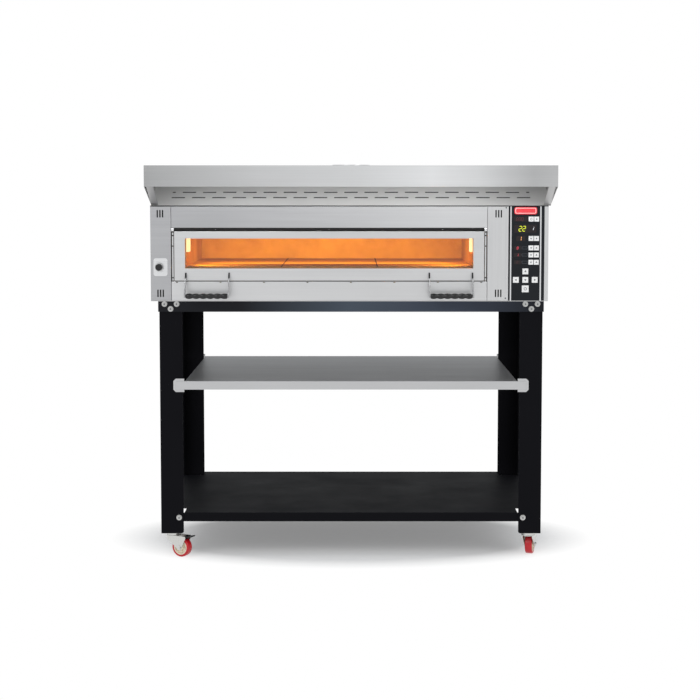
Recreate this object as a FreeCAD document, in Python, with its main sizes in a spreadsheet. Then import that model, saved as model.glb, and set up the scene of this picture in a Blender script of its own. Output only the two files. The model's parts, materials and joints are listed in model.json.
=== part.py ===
import FreeCAD, Part
import os
import re

import Sketcher

# A single-deck electric bakery oven: a steel stand on four casters, a baking chamber behind a
# top-hinged glazed door, a panel of keys at the right, and an exhaust hood over the front.
# Millimetres. X runs to the right, Y from the front to the back, Z up from the floor, and the
# origin is on the floor under the middle of the whole oven.

# ---------------------------------------------------------------- driving dimensions

SIZES = {
    # oven body
    "oven_width": 1500,
    "oven_depth": 930,
    "oven_height": 360,
    "oven_offset": -6,
    "skin": 1.5,
    "deck_plate": 2,
    "fold_depth": 20,
    "edge_round": 1.8,
    "panel_gap": 0.8,
    "left_pillar": 77.5,
    "vent_pillar": 80.6,
    "control_width": 134.4,
    "edge_strip": 15,
    "lower_panel": 75,
    "upper_panel": 83,
    "rear_recess": 35,
    "running_fit": 0.05,
    "slack": 0.3,
    "overcut": 10,
    # ventilation slots
    "vent_width": 5,
    "vent_height": 28,
    "vent_pitch": 10,
    "vent_inset": 16,
    "left_vent_at": 27,
    "right_vent_at": 32,
    "notch_width": 7,
    "notch_height": 5,
    "notch_inset": 22,
    "notch_depth": 6,
    "rear_vent_height": 120,
    "rear_vent_drop": 66,
    "rear_vent_side": 150,
    "rear_vent_pitch": 12,
    "rear_vents": 10,
    # damper
    "damper_at": 33,
    "damper_rise": 129,
    "damper_plate_width": 53,
    "damper_plate_height": 67,
    "damper_plate_thick": 1,
    "damper_plate_shift": 4.5,
    "damper_rod_radius": 4,
    "damper_rod_length": 110,
    "damper_knob_radius": 13,
    "damper_neck_radius": 10,
    "damper_knob_gap": 2,
    "damper_knob_depth": 22,
    "damper_knob_round": 2,
    # door
    "door_gap": 3,
    "door_side_gap": 12,
    "door_depth": 44,
    "door_proud": 2,
    "door_round": 1.26,
    "window_side": 40.75,
    "window_below": 46,
    "window_above": 27,
    "glass_thick": 5,
    "glass_lap": 8,
    "hinge_band": 13,
    "hinge_setback": 6,
    "hinge_bar_radius": 6.2,
    "hinge_pin_radius": 4,
    "hinge_pin_grip": 12,
    "hinge_pin_reach": 6,
    "handle_inset": 125.25,
    "arm_spacing": 163,
    "arm_thick": 5,
    "arm_foot": 20,
    "arm_foot_thick": 6,
    "arm_width": 12,
    "arm_drop": 20,
    "grip_radius": 10.5,
    "grip_core": 4,
    "grip_drop": 55,
    "grip_reach": 55,
    # baking chamber
    "chamber_side": 35.25,
    "chamber_setback": 60,
    "rear_space": 135,
    "chamber_lift": 8,
    "liner": 1.2,
    "wool": 60,
    "rail_rise": 20,
    "rail_width": 14,
    "stone_thick": 22,
    "stone_gap": 2,
    "element_radius": 4,
    "element_spacing": 180,
    "element_below": 10,
    "element_above": 12,
    "element_front": 70,
    "element_tail": 40,
    "lamp_depth": 60,
    "lamp_height": 50,
    "lamp_thick": 10,
    "lamp_back": 50,
    "lamp_drop": 24,
    # control panel
    "key_travel": 1,
    "key_proud": 1.6,
    "key_round": 1.2,
    "key_rim": 0.7,
    "small_key": 18.5,
    "arrow_key": 22,
    "power_key": 26,
    "key_gap": 2,
    "right_column": 30,
    "layout_height": 360,
    "switch_row": 310,
    "clock_row": 273.5,
    "program_row": 237,
    "top_heat_row": 201.5,
    "bottom_heat_row": 175,
    "timer_row": 147.5,
    "arrow_middle": 63.4,
    "arrow_pitch": 35.5,
    "arrow_row": 81,
    "arrow_rise": 32,
    "power_row": 47,
    "trim_width": 5,
    "trim_proud": 1.5,
    "left_trim_at": 5,
    "right_trim_at": 16.9,
    "display_thick": 0.6,
    "status_at": 45,
    "status_width": 52,
    "status_height": 18,
    "clock_at": 62,
    "clock_width": 84,
    "clock_height": 30,
    "program_width": 34,
    "program_height": 19,
    "small_display_at": 34,
    "small_display_width": 28,
    "small_display_height": 15,
    "board_thick": 1.6,
    "board_inset": 24,
    "board_side": 4,
    "post_radius": 3,
    "post_side": 9,
    "post_end": 8,
    "gland_side": 94,
    "gland_rise": 60,
    "gland_bore": 8,
    "gland_radius": 12,
    "gland_flange": 18,
    "gland_reach": 26,
    "gland_tail": 12,
    "gland_flange_thick": 6,
    "gland_nut_radius": 15,
    "gland_chamfer": 5,
    # hood
    "hood_overhang": 10,
    "hood_fit": 2,
    "hood_reach": 150,
    "hood_height": 150,
    "hood_skin": 1.5,
    "fascia_height": 78,
    "fascia_lip": 14,
    "cheek_foot": 4,
    "cheek_flange": 25,
    "baffle_lean": 27.3,
    "baffle_gap": 2,
    "baffle_seat": 0.1,
    "slot_length": 51,
    "slot_width": 10,
    "slot_pitch": 77.06,
    "slot_margin": 65,
    "end_slot": 12,
    "lower_row": 63,
    "upper_row": 106,
    "flue_radius": 75,
    "flue_wall": 1.5,
    "flue_rise": 10,
    "flue_depth": 40,
    "flue_flange": 20,
    "flue_from_back": 290,
    # stand
    "stand_height": 890,
    "stand_inset": 21,
    "stand_short": 10,
    "rail_height": 40,
    "rail_skin": 3,
    "leg_inset": 4,
    "leg_width": 86,
    "leg_skin": 3,
    "leg_round": 8,
    "foot_thick": 5,
    "shelf_skin": 1.5,
    "shelf_clear": 3,
    "shelf_round": 0.9,
    "middle_shelf_at": 680,
    "middle_shelf_lip": 32,
    "middle_shelf_lap": 25,
    "bottom_shelf_at": 174,
    "bottom_shelf_lip": 34,
    "bottom_shelf_lap": 36,
    "hook_width": 41,
    "hook_height": 51,
    "hook_thick": 2,
    "hook_corner": 9,
    "hook_overhang": 6,
    "bolt_radius": 4,
    "bolt_head_radius": 7.5,
    "bolt_head": 5.3,
    "bolt_length": 16,
    "washer_radius": 10.5,
    "washer_thick": 1.6,
    "bolt_pitch": 46,
    "top_bolt_drop": 10.5,
    "low_bolt_drop": 29,
    "shelf_bolt_rise": 156,
    "shelf_bolt_inset": 17,
    # casters
    "caster_height": 94,
    "caster_plate": 61,
    "caster_plate_thick": 3,
    "raceway_radius": 24,
    "raceway_height": 9,
    "kingpin_radius": 5,
    "kingpin_nut_radius": 8,
    "kingpin_nut": 2,
    "crown_radius": 26,
    "fork_skin": 3,
    "fork_gap": 36,
    "fork_nose": 17,
    "fork_nose_drop": 8,
    "fork_tail": 14,
    "fork_tail_drop": 6,
    "fork_brake_tail": 7,
    "fork_bridge": 8,
    "axle_boss_back": 11,
    "axle_boss_half": 6,
    "axle_boss_drop": 10,
    "trail": 38,
    "axle_radius": 4,
    "axle_head_radius": 7,
    "axle_head": 5,
    "wheel_radius": 37.5,
    "hub_radius": 29,
    "hub_width": 34,
    "hub_boss_radius": 12,
    "hub_boss_flare": 2,
    "hub_recess": 4,
    "hub_rim": 3,
    "tread_width": 28,
    "tread_shoulder": 3,
    "tread_bevel": 4,
    "pedal_pin_back": 58,
    "pedal_pin_rise": 78,
    "pedal_pin_radius": 2.5,
    "pedal_width": 27,
    "pedal_reach": 30,
    "front_left_turn": -118,
    "front_right_turn": -16,
    "rear_left_turn": 194,
    "rear_right_turn": 171,
}

doc = FreeCAD.newDocument("deck_oven")
sheet = doc.addObject("Spreadsheet::Sheet", "sizes")
for row, (alias, number) in enumerate(SIZES.items(), 1):
    sheet.set(f"A{row}", alias)
    sheet.set(f"B{row}", str(number))
    sheet.setAlias(f"B{row}", alias)
doc.recompute()

# ---------------------------------------------------------------- shared places, as formulas

FRONT = "((hood_reach - oven_depth) / 2)"
BACK = "((hood_reach + oven_depth) / 2)"
LEFT = "(oven_offset - oven_width / 2)"
RIGHT = "(oven_offset + oven_width / 2)"
BAY_LEFT = f"({LEFT} + left_pillar)"
PANEL_RIGHT = f"({RIGHT} - edge_strip)"
PANEL_LEFT = f"({PANEL_RIGHT} - control_width)"
BAY_RIGHT = f"({PANEL_LEFT} - vent_pillar)"
BAY_MIDDLE = f"(({BAY_LEFT} + {BAY_RIGHT}) / 2)"

REAR_FACE = f"({BACK} - rear_recess)"

STAND_TOP = "(caster_height + stand_height)"
OVEN_TOP = f"({STAND_TOP} + oven_height)"
HOOD_TOP = f"({OVEN_TOP} + hood_height)"
INSIDE_LOW = f"({STAND_TOP} + deck_plate)"
INSIDE_HIGH = f"({OVEN_TOP} - deck_plate)"

DOOR_LOW = f"({STAND_TOP} + lower_panel + door_gap)"
DOOR_HIGH = f"({OVEN_TOP} - upper_panel - hinge_band)"
DOOR_TALL = f"({DOOR_HIGH} - {DOOR_LOW})"
DOOR_LEFT = f"({BAY_LEFT} + door_side_gap)"
DOOR_RIGHT = f"({BAY_RIGHT} - door_side_gap)"
DOOR_WIDE = f"({DOOR_RIGHT} - {DOOR_LEFT})"
DOOR_FACE = f"({FRONT} - door_proud)"
HINGE_Y = f"({FRONT} + hinge_setback)"
HINGE_Z = f"({DOOR_HIGH} + hinge_band / 2)"
GRIP_Y = f"({DOOR_FACE} - grip_reach)"
GRIP_Z = f"({DOOR_LOW} - grip_drop)"

CHAMBER_FRONT = f"({FRONT} + chamber_setback)"
CHAMBER_BACK = f"({REAR_FACE} - rear_space)"
CHAMBER_LEFT = f"({DOOR_LEFT} + chamber_side)"
CHAMBER_RIGHT = f"({DOOR_RIGHT} - chamber_side)"
CHAMBER_LOW = f"({DOOR_LOW} + chamber_lift)"
CHAMBER_HIGH = f"({DOOR_HIGH} - chamber_lift)"

STAND_WIDTH = "(oven_width - 2 * stand_inset)"
STAND_DEPTH = "(oven_depth - stand_short)"
STAND_MIDDLE = f"({FRONT} + {STAND_DEPTH} / 2)"
RAIL_LOW = f"({STAND_TOP} - rail_height)"
LEG_OUTER = f"({STAND_WIDTH} / 2 - leg_inset)"
LEG_INNER = f"({LEG_OUTER} - leg_width)"
LEG_FACE = f"({STAND_DEPTH} / 2 - rail_skin)"
LEG_MIDDLE_X = f"({LEG_OUTER} - leg_width / 2)"
LEG_MIDDLE_Y = f"({LEG_FACE} - leg_width / 2)"

# ---------------------------------------------------------------- building blocks


def sized(formula):
    """The formula with each size name read from the sheet."""
    return re.sub(r"\b[a-z]\w*\b(?!\()", r"sizes.\g<0>", formula)


def worth(formula):
    """The formula's present value, for the first drawing of an outline."""
    number = sheet.evalExpression(sized(formula))
    return float(getattr(number, "Value", number))


def bind(thing, formulas):
    """Ties each named property to its formula."""
    for path, formula in formulas.items():
        thing.setExpression(path, sized(formula))


def move(thing, x="0", y="0", z="0"):
    bind(thing, {"Placement.Base.x": x, "Placement.Base.y": y, "Placement.Base.z": z})
    return thing


def span(sign, near, far, middle="0"):
    """The low and high formula of a stretch that lies on one side of a middle plane."""
    if sign > 0:
        return f"{middle} + {near}", f"{middle} + {far}"
    return f"{middle} - ({far})", f"{middle} - ({near})"


def around(middle, width):
    """The low and high formula of a stretch centred on a middle plane."""
    return f"{middle} - ({width}) / 2", f"{middle} + ({width}) / 2"


def block(name, x, y, z):
    """A box between a low and a high formula along each axis."""
    box = doc.addObject("Part::Box", name)
    bind(box, {
        "Length": f"({x[1]}) - ({x[0]})",
        "Width": f"({y[1]}) - ({y[0]})",
        "Height": f"({z[1]}) - ({z[0]})",
    })
    return move(box, x[0], y[0], z[0])


TURNS = {
    "X": FreeCAD.Rotation(FreeCAD.Vector(0, 1, 0), 90),
    "Y": FreeCAD.Rotation(FreeCAD.Vector(1, 0, 0), -90),
    "Z": FreeCAD.Rotation(),
}


def rod(name, axis, radius, length, x="0", y="0", z="0"):
    """A round bar that starts at a point and runs along an axis."""
    bar = doc.addObject("Part::Cylinder", name)
    bar.Placement.Rotation = TURNS[axis]
    bind(bar, {"Radius": radius, "Height": length})
    return move(bar, x, y, z)


def join(name, shapes):
    fused = doc.addObject("Part::MultiFuse", name)
    fused.Shapes = shapes
    return fused


def cut(name, base, tools):
    """A shape less one or more others."""
    less = doc.addObject("Part::Cut", name)
    less.Base = base
    less.Tool = tools[0] if len(tools) == 1 else join(f"{name}_tools", tools)
    return less


def group(name, solids):
    """Separate solids that share one node."""
    together = doc.addObject("Part::Compound", name)
    together.Links = solids
    return together


def body(name):
    return doc.addObject("PartDesign::Body", name)


def draw(solid, role, outlines=(), circles=(), offset="0"):
    """A sketch on one of the body's origin planes, with its corners and circles tied to the sheet."""
    sketch = solid.newObject("Sketcher::SketchObject", f"{solid.Name}_sketch")
    plane = next(item for item in solid.Origin.OriginFeatures if item.Role == role)
    sketch.AttachmentSupport = (plane, "")
    sketch.MapMode = "FlatFace"
    bind(sketch, {"AttachmentOffset.Base.z": offset})
    for corners in outlines:
        draw_outline(sketch, corners)
    for across, up, radius in circles:
        draw_circle(sketch, across, up, radius)
    return sketch


def draw_outline(sketch, corners):
    points = [FreeCAD.Vector(worth(across), worth(up), 0) for across, up in corners]
    count = len(points)
    first = sketch.GeometryCount
    edges = [Part.LineSegment(points[step], points[(step + 1) % count]) for step in range(count)]
    sketch.addGeometry(edges, False)
    for step, (across, up) in enumerate(corners):
        edge = first + step
        sketch.addConstraint(Sketcher.Constraint("Coincident", edge, 2, first + (step + 1) % count, 1))
        tie(sketch, Sketcher.Constraint("DistanceX", -1, 1, edge, 1, points[step].x), across)
        tie(sketch, Sketcher.Constraint("DistanceY", -1, 1, edge, 1, points[step].y), up)


def draw_circle(sketch, across, up, radius):
    middle = FreeCAD.Vector(worth(across), worth(up), 0)
    circle = sketch.addGeometry(Part.Circle(middle, FreeCAD.Vector(0, 0, 1), worth(radius)), False)
    tie(sketch, Sketcher.Constraint("DistanceX", -1, 1, circle, 3, middle.x), across)
    tie(sketch, Sketcher.Constraint("DistanceY", -1, 1, circle, 3, middle.y), up)
    tie(sketch, Sketcher.Constraint("Radius", circle, worth(radius)), radius)


def tie(sketch, constraint, formula):
    index = sketch.addConstraint(constraint)
    name = f"size_{index}"
    sketch.renameConstraint(index, name)
    bind(sketch, {f"Constraints.{name}": formula})


def box_outline(x, y):
    return [(x[0], y[0]), (x[1], y[0]), (x[1], y[1]), (x[0], y[1])]


def pad(solid, sketch, length, towards="out"):
    """Adds the sketch's outline: out along its normal, in against it, or both ways evenly."""
    feature = solid.newObject("PartDesign::Pad", f"{solid.Name}_pad")
    return finish_feature(feature, sketch, length, towards, "in")


def pocket(solid, sketch, length, towards="in"):
    """Cuts the sketch's outline away, and stops if that removed nothing."""
    doc.recompute()
    before = solid.Shape.Volume
    feature = solid.newObject("PartDesign::Pocket", f"{solid.Name}_pocket")
    finish_feature(feature, sketch, length, towards, "out")
    doc.recompute()
    if solid.Shape.Volume > before - 1e-3:
        raise RuntimeError(f"{feature.Name} removed nothing")
    return feature


def finish_feature(feature, sketch, length, towards, reversed_way):
    feature.Profile = sketch
    feature.Reversed = towards == reversed_way
    if towards == "both":
        feature.SideType = "Symmetric"
    bind(feature, {"Length": length})
    return feature


def repeat(solid, feature, sketch, direction, length, count, reverse=False):
    """Repeats a feature evenly over a length, along one of its sketch's axes."""
    pattern = solid.newObject("PartDesign::LinearPattern", f"{solid.Name}_row")
    pattern.Originals = [feature]
    pattern.Direction = (sketch, [direction])
    pattern.Reversed = reverse
    bind(pattern, {"Length": length, "Occurrences": count})
    solid.Tip = pattern
    return pattern


def revolve(solid, sketch):
    """Turns the sketch once round its own upright axis."""
    turned = solid.newObject("PartDesign::Revolution", f"{solid.Name}_turned")
    turned.Profile = sketch
    turned.ReferenceAxis = (sketch, ["V_Axis"])
    turned.Angle = 360
    return turned


def round_edges(solid, radius, chosen):
    """Rounds the edges of the body that the test picks."""
    doc.recompute()
    last = solid.Tip
    names = [f"Edge{place}" for place, edge in enumerate(last.Shape.Edges, 1) if chosen(edge)]
    feature = solid.newObject("PartDesign::Fillet", f"{solid.Name}_round")
    feature.Base = (last, names)
    bind(feature, {"Radius": radius})
    return feature


def on_plane(axis, height):
    """A test for edges that lie in one plane of the body's own frame."""
    def test(edge):
        return all(abs(getattr(point.Point, axis) - height) < 1e-4 for point in edge.Vertexes)
    return test


NODES = []


def keep(name, thing):
    """Hands a finished sub-part over as a node."""
    thing.Label = name
    NODES.append(thing)
    return thing


def folded_panel(name, x, z):
    """A sheet-steel front panel with its four edges folded back."""
    solid = body(name)
    move(solid, x[0], FRONT, z[0])
    outer = box_outline(("0", f"({x[1]}) - ({x[0]})"), ("0", f"({z[1]}) - ({z[0]})"))
    inner = box_outline(("skin", f"({x[1]}) - ({x[0]}) - skin"), ("skin", f"({z[1]}) - ({z[0]}) - skin"))
    pad(solid, draw(solid, "XZ_Plane", [outer, inner]), "fold_depth", "in")
    pad(solid, draw(solid, "XZ_Plane", [outer]), "skin", "in")
    round_edges(solid, "edge_round", on_plane("y", 0))
    return solid


def vent_slots(name, first, low):
    """Three upright slots side by side, as cutting tools."""
    slots = []
    for step in range(3):
        x = around(f"({first} + {step} * vent_pitch)", "vent_width")
        slots.append(block(f"{name}_{step}", x, (f"{FRONT} - 1", f"{FRONT} + fold_depth / 2"),
                           (low, f"{low} + vent_height")))
    return slots


# ---------------------------------------------------------------- stand

SIDES = (("left", -1), ("right", 1))
ENDS = (("front", -1), ("rear", 1))
CORNERS = [(f"{end}_{side}", sx, sy) for end, sy in ENDS for side, sx in SIDES]


def bolt(name, sy, x, z):
    """A hex bolt on its washer, on the front or rear face, with its shank pointing inwards."""
    outside = f"{STAND_DEPTH} / 2"
    seat = f"{outside} + washer_thick"
    washer = span(sy, outside, seat, STAND_MIDDLE)
    head = span(sy, seat, f"{seat} + bolt_head", STAND_MIDDLE)
    shank = span(sy, f"{outside} - bolt_length", outside, STAND_MIDDLE)
    hexagon = doc.addObject("Part::Prism", f"{name}_head")
    hexagon.Polygon = 6
    hexagon.Placement.Rotation = TURNS["Y"]
    bind(hexagon, {"Circumradius": "bolt_head_radius", "Height": "bolt_head"})
    move(hexagon, x, head[0], z)
    disc = rod(f"{name}_washer", "Y", "washer_radius", "washer_thick", x, washer[0], z)
    shaft = rod(f"{name}_shank", "Y", "bolt_radius", "bolt_length", x, shank[0], z)
    return join(name, [hexagon, disc, shaft])


def bolt_places(sx):
    """The centres of one corner's bolts, as formulas across and up."""
    top = f"({STAND_TOP} - top_bolt_drop)"
    low = f"({STAND_TOP} - low_bolt_drop)"
    inner = f"({sx} * ({LEG_MIDDLE_X} - bolt_pitch / 2))"
    middle = f"({sx} * {LEG_MIDDLE_X})"
    outer = f"({sx} * ({LEG_MIDDLE_X} + bolt_pitch / 2))"
    shelf = (f"({sx} * ({LEG_INNER} + shelf_bolt_inset))", "shelf_bolt_rise")
    return [(inner, top), (outer, top), (middle, low), shelf]


def bolt_holes(name, sx):
    """Clearance holes for one side's bolts, through the front and the rear steel alike."""
    start = f"{STAND_MIDDLE} - {STAND_DEPTH} / 2 - overcut"
    length = f"{STAND_DEPTH} + 2 * overcut"
    return [rod(f"{name}_hole_{step}", "Y", "bolt_radius + slack", length, x, start, z)
            for step, (x, z) in enumerate(bolt_places(sx))]


def leg(name, sx, sy):
    """A corner post of angle section on a foot plate, holed for its bolts."""
    post = body(f"{name}_post")
    outer_x = f"{sx} * {LEG_OUTER}"
    inner_x = f"{sx} * {LEG_INNER}"
    web_x = f"{sx} * ({LEG_OUTER} - leg_skin)"
    foot_x = f"{inner_x} + {sx} * (leg_round + slack)"
    outer_y = f"{sy} * {LEG_FACE}"
    inner_y = f"{sy} * ({LEG_FACE} - leg_width)"
    web_y = f"{sy} * ({LEG_FACE} - leg_skin)"
    angle = [(outer_x, outer_y), (inner_x, outer_y), (inner_x, web_y), (web_x, web_y),
             (web_x, inner_y), (outer_x, inner_y)]
    foot = [(outer_x, outer_y), (foot_x, outer_y), (foot_x, inner_y), (outer_x, inner_y)]
    pad(post, draw(post, "XY_Plane", [angle]), "stand_height - rail_skin")
    inside = worth(inner_x)
    face = worth(outer_y)

    def low_inner_corner(edge):
        middle = edge.CenterOfMass
        at_foot = abs(middle.x - inside) < 1e-3 and abs(middle.z) < 1e-3
        return at_foot and abs(middle.y - face) < SIZES["leg_skin"]

    round_edges(post, "leg_round", low_inner_corner)
    pad(post, draw(post, "XY_Plane", [foot]), "foot_thick")
    move(post, y=STAND_MIDDLE, z="caster_height")
    return cut(name, post, bolt_holes(name, sx))


def long_rail(name, sy):
    """The front or rear top rail: an upright web outside and a flange on top."""
    x = around("0", STAND_WIDTH)
    outside = f"{STAND_DEPTH} / 2"
    web_y = span(sy, f"{outside} - rail_skin", outside, STAND_MIDDLE)
    flange_y = span(sy, f"{outside} - rail_height", outside, STAND_MIDDLE)
    web = block(f"{name}_web", x, web_y, (RAIL_LOW, STAND_TOP))
    flange = block(f"{name}_flange", x, flange_y, (f"{STAND_TOP} - rail_skin", STAND_TOP))
    holes = bolt_holes(f"{name}_left", -1) + bolt_holes(f"{name}_right", 1)
    return cut(name, join(f"{name}_angle", [web, flange]), holes)


def side_rail(name, sx):
    """A side top rail between the long rails."""
    y = around(STAND_MIDDLE, f"{STAND_DEPTH} - 2 * rail_height")
    outside = f"{STAND_WIDTH} / 2"
    web_x = span(sx, f"{outside} - rail_skin", outside)
    flange_x = span(sx, f"{outside} - rail_height", outside)
    web = block(f"{name}_web", web_x, y, (RAIL_LOW, STAND_TOP))
    flange = block(f"{name}_flange", flange_x, y, (f"{STAND_TOP} - rail_skin", STAND_TOP))
    return join(name, [web, flange])


def shelf(name, top, lip, half_pan, lap, depth):
    """A shelf pan between the legs, with folded lips at its front and back that lap the legs."""
    pan = body(f"{name}_pan")
    reach = f"({depth}) / 2"
    channel = [(f"-{reach}", f"-({lip})"), (f"-{reach}", "0"), (reach, "0"), (reach, f"-({lip})"),
               (f"{reach} - shelf_skin", f"-({lip})"), (f"{reach} - shelf_skin", "-shelf_skin"),
               (f"shelf_skin - {reach}", "-shelf_skin"), (f"shelf_skin - {reach}", f"-({lip})")]
    pad(pan, draw(pan, "YZ_Plane", [channel]), f"2 * {half_pan}", "both")
    for sy in (-1, 1):
        y = span(sy, f"{reach} - shelf_skin", reach)
        strip = box_outline(y, (f"-({lip})", "0"))
        pad(pan, draw(pan, "YZ_Plane", [strip]), f"2 * ({LEG_INNER} + {lap})", "both")
    edge = worth(reach)

    def top_edge(line):
        return abs(line.CenterOfMass.z) < 1e-3 and abs(abs(line.CenterOfMass.y) - edge) < 1e-3

    round_edges(pan, "shelf_round", top_edge)
    return move(pan, y=STAND_MIDDLE, z=top)


def shelf_side(name, sx):
    """The bottom shelf's folded side, which reaches out between a front leg and the leg behind it."""
    y = around(STAND_MIDDLE, f"2 * ({LEG_FACE} - leg_width - shelf_clear)")
    outer = f"{LEG_OUTER} - leg_skin"
    plate = block(f"{name}_plate", span(sx, f"{LEG_INNER} - shelf_clear - overcut", outer), y,
                  ("bottom_shelf_at - shelf_skin", "bottom_shelf_at"))
    lip = block(f"{name}_lip", span(sx, f"{outer} - shelf_skin", outer), y,
                ("bottom_shelf_at - bottom_shelf_lip", "bottom_shelf_at"))
    return join(name, [plate, lip])


def hook_plate(name, sx, sy):
    """A small plate with cut corners on a leg's face, which the middle shelf's lip hangs on."""
    plate = body(name)
    far = f"{sx} * hook_width"
    cut_x = f"{sx} * (hook_width - hook_corner)"
    outline = [("0", "0"), (cut_x, "0"), (far, "hook_corner"), (far, "hook_height - hook_corner"),
               (cut_x, "hook_height"), ("0", "hook_height")]
    pad(plate, draw(plate, "XZ_Plane", [outline]), "hook_thick", "out" if sy < 0 else "in")
    return move(plate, f"{sx} * ({LEG_INNER} - hook_overhang)", f"{STAND_MIDDLE} + {sy} * {LEG_FACE}",
                "middle_shelf_at - middle_shelf_lip / 2 - hook_height / 2")


keep("stand_legs", group("stand_legs", [leg(f"leg_{corner}", sx, sy) for corner, sx, sy in CORNERS]))

keep("stand_rails", group("stand_rails", [
    long_rail("front_rail", -1), long_rail("rear_rail", 1),
    side_rail("left_rail", -1), side_rail("right_rail", 1),
]))

keep("middle_shelf", shelf("middle_shelf", "middle_shelf_at", "middle_shelf_lip",
                           f"({LEG_INNER} - hook_overhang - shelf_clear)", "middle_shelf_lap",
                           f"2 * ({LEG_FACE} + hook_thick + shelf_skin)"))
low_shelf = shelf("bottom_shelf", "bottom_shelf_at", "bottom_shelf_lip", f"({LEG_INNER} - shelf_clear)",
                  "bottom_shelf_lap", f"2 * ({LEG_FACE} - leg_skin)")
shelf_holes = bolt_holes("shelf_left", -1) + bolt_holes("shelf_right", 1)
shelf_parts = [low_shelf] + [shelf_side(f"shelf_{side}_side", sx) for side, sx in SIDES]
keep("bottom_shelf", cut("bottom_shelf", join("shelf_whole", shelf_parts), shelf_holes))
hooks = [hook_plate(f"hook_{corner}", sx, sy) for corner, sx, sy in CORNERS]
keep("shelf_hooks", group("shelf_hooks", hooks))

bolts = []
for corner, sx, sy in CORNERS:
    for step, (x, z) in enumerate(bolt_places(sx)):
        bolts.append(bolt(f"bolt_{corner}_{step}", sy, x, z))
keep("stand_bolts", group("stand_bolts", bolts))

# ---------------------------------------------------------------- casters

CROWN_LOW = "(caster_height - caster_plate_thick - raceway_height - slack - fork_skin)"
FORK_OUT = "(fork_gap / 2 + fork_skin)"


def caster_mount(name, x, y):
    """The fixed plate of a caster, with its raceway and the kingpin that the fork turns on."""
    plate_low = "(caster_height - caster_plate_thick)"
    plate = block(f"{name}_plate", around(x, "caster_plate"), around(y, "caster_plate"),
                  (plate_low, "caster_height"))
    raceway = rod(f"{name}_raceway", "Z", "raceway_radius", "raceway_height", x, y,
                  f"{plate_low} - raceway_height")
    pin_low = f"({CROWN_LOW} - slack - kingpin_nut)"
    kingpin = rod(f"{name}_kingpin", "Z", "kingpin_radius", f"{plate_low} - {pin_low}", x, y, pin_low)
    nut = rod(f"{name}_nut", "Z", "kingpin_nut_radius", "kingpin_nut", x, y, pin_low)
    return join(name, [plate, raceway, kingpin, nut])


def fork(name, x, y, turn, braked):
    """A swivel fork with its axle bolt: a crown, two cheeks, and the pedal's pin when it has a brake."""
    crown = rod(f"{name}_crown", "Z", "crown_radius", "fork_skin", z=CROWN_LOW)
    back = "pedal_pin_back + fork_brake_tail" if braked else "trail + fork_tail"
    cheek = [("-fork_nose", f"{CROWN_LOW} + fork_skin"), (back, f"{CROWN_LOW} + fork_skin"),
             (back, f"{CROWN_LOW} - fork_tail_drop"), ("trail + axle_boss_back", "wheel_radius"),
             ("trail + axle_boss_half", "wheel_radius - axle_boss_drop"),
             ("trail - axle_boss_half", "wheel_radius - axle_boss_drop"),
             ("-fork_nose", f"{CROWN_LOW} - fork_nose_drop")]
    sides = []
    for side, sx in SIDES:
        plate = body(f"{name}_{side}_cheek")
        pad(plate, draw(plate, "YZ_Plane", [cheek]), "fork_skin")
        sides.append(move(plate, span(sx, "fork_gap / 2", FORK_OUT)[0]))
    bridge = block(f"{name}_bridge", around("0", f"2 * {FORK_OUT}"), ("-fork_nose", "fork_bridge"),
                   (CROWN_LOW, f"{CROWN_LOW} + fork_skin"))
    yoke = [crown, bridge] + sides
    if braked:
        yoke.append(rod(f"{name}_pedal_pin", "X", "pedal_pin_radius", f"2 * {FORK_OUT}", f"-{FORK_OUT}",
                        "pedal_pin_back", "pedal_pin_rise"))
    axle_hole = rod(f"{name}_axle_hole", "X", "axle_radius", f"2 * ({FORK_OUT} + overcut)",
                    f"-{FORK_OUT} - overcut", "trail", "wheel_radius")
    king_hole = rod(f"{name}_king_hole", "Z", "kingpin_radius + running_fit", "2 * overcut",
                    z=f"{CROWN_LOW} - overcut")
    frame = cut(f"{name}_frame", join(f"{name}_yoke", yoke), [axle_hole, king_hole])
    shank = rod(f"{name}_axle_shank", "X", "axle_radius", f"2 * {FORK_OUT}", f"-{FORK_OUT}",
                "trail", "wheel_radius")
    heads = [rod(f"{name}_axle_{side}", "X", "axle_head_radius", "axle_head",
                 span(sx, FORK_OUT, f"{FORK_OUT} + axle_head")[0], "trail", "wheel_radius")
             for side, sx in SIDES]
    return place_caster(group(name, [frame, join(f"{name}_axle", [shank] + heads)]), x, y, turn)


def place_caster(thing, x, y, turn):
    """Turns a caster piece about its kingpin and sets it under its leg."""
    bind(thing, {"Placement.Rotation.Angle": turn})
    return move(thing, x, y)


def wheel(name, x, y, turn):
    """A hub with its bonded tread, both turned about the axle."""
    half_hub = "hub_width / 2"
    half_tread = "tread_width / 2"
    bore = "axle_radius + running_fit"
    web = f"-{half_tread} + hub_recess"
    hub_side = [(bore, f"-{half_hub}"), ("hub_boss_radius", f"-{half_hub}"),
                ("hub_boss_radius + hub_boss_flare", web), ("hub_radius - hub_rim - 1", web),
                ("hub_radius - hub_rim", f"-{half_tread}"), ("hub_radius", f"-{half_tread}")]
    hub = body(f"{name}_hub")
    revolve(hub, draw(hub, "XZ_Plane", [hub_side + mirrored(hub_side)]))
    tread_side = [("hub_radius", f"-{half_tread}"), ("wheel_radius - tread_shoulder", f"-{half_tread}"),
                  ("wheel_radius", f"-{half_tread} + tread_bevel")]
    tread = body(f"{name}_tread")
    revolve(tread, draw(tread, "XZ_Plane", [tread_side + mirrored(tread_side)]))
    for piece in (hub, tread):
        piece.Placement.Rotation = TURNS["X"]
        move(piece, y="trail", z="wheel_radius")
    return place_caster(group(name, [hub, tread]), x, y, turn)


def mirrored(corners):
    """The same corners in reverse, on the other side of the outline's level axis."""
    return [(across, f"-({up})") for across, up in reversed(corners)]


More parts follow.
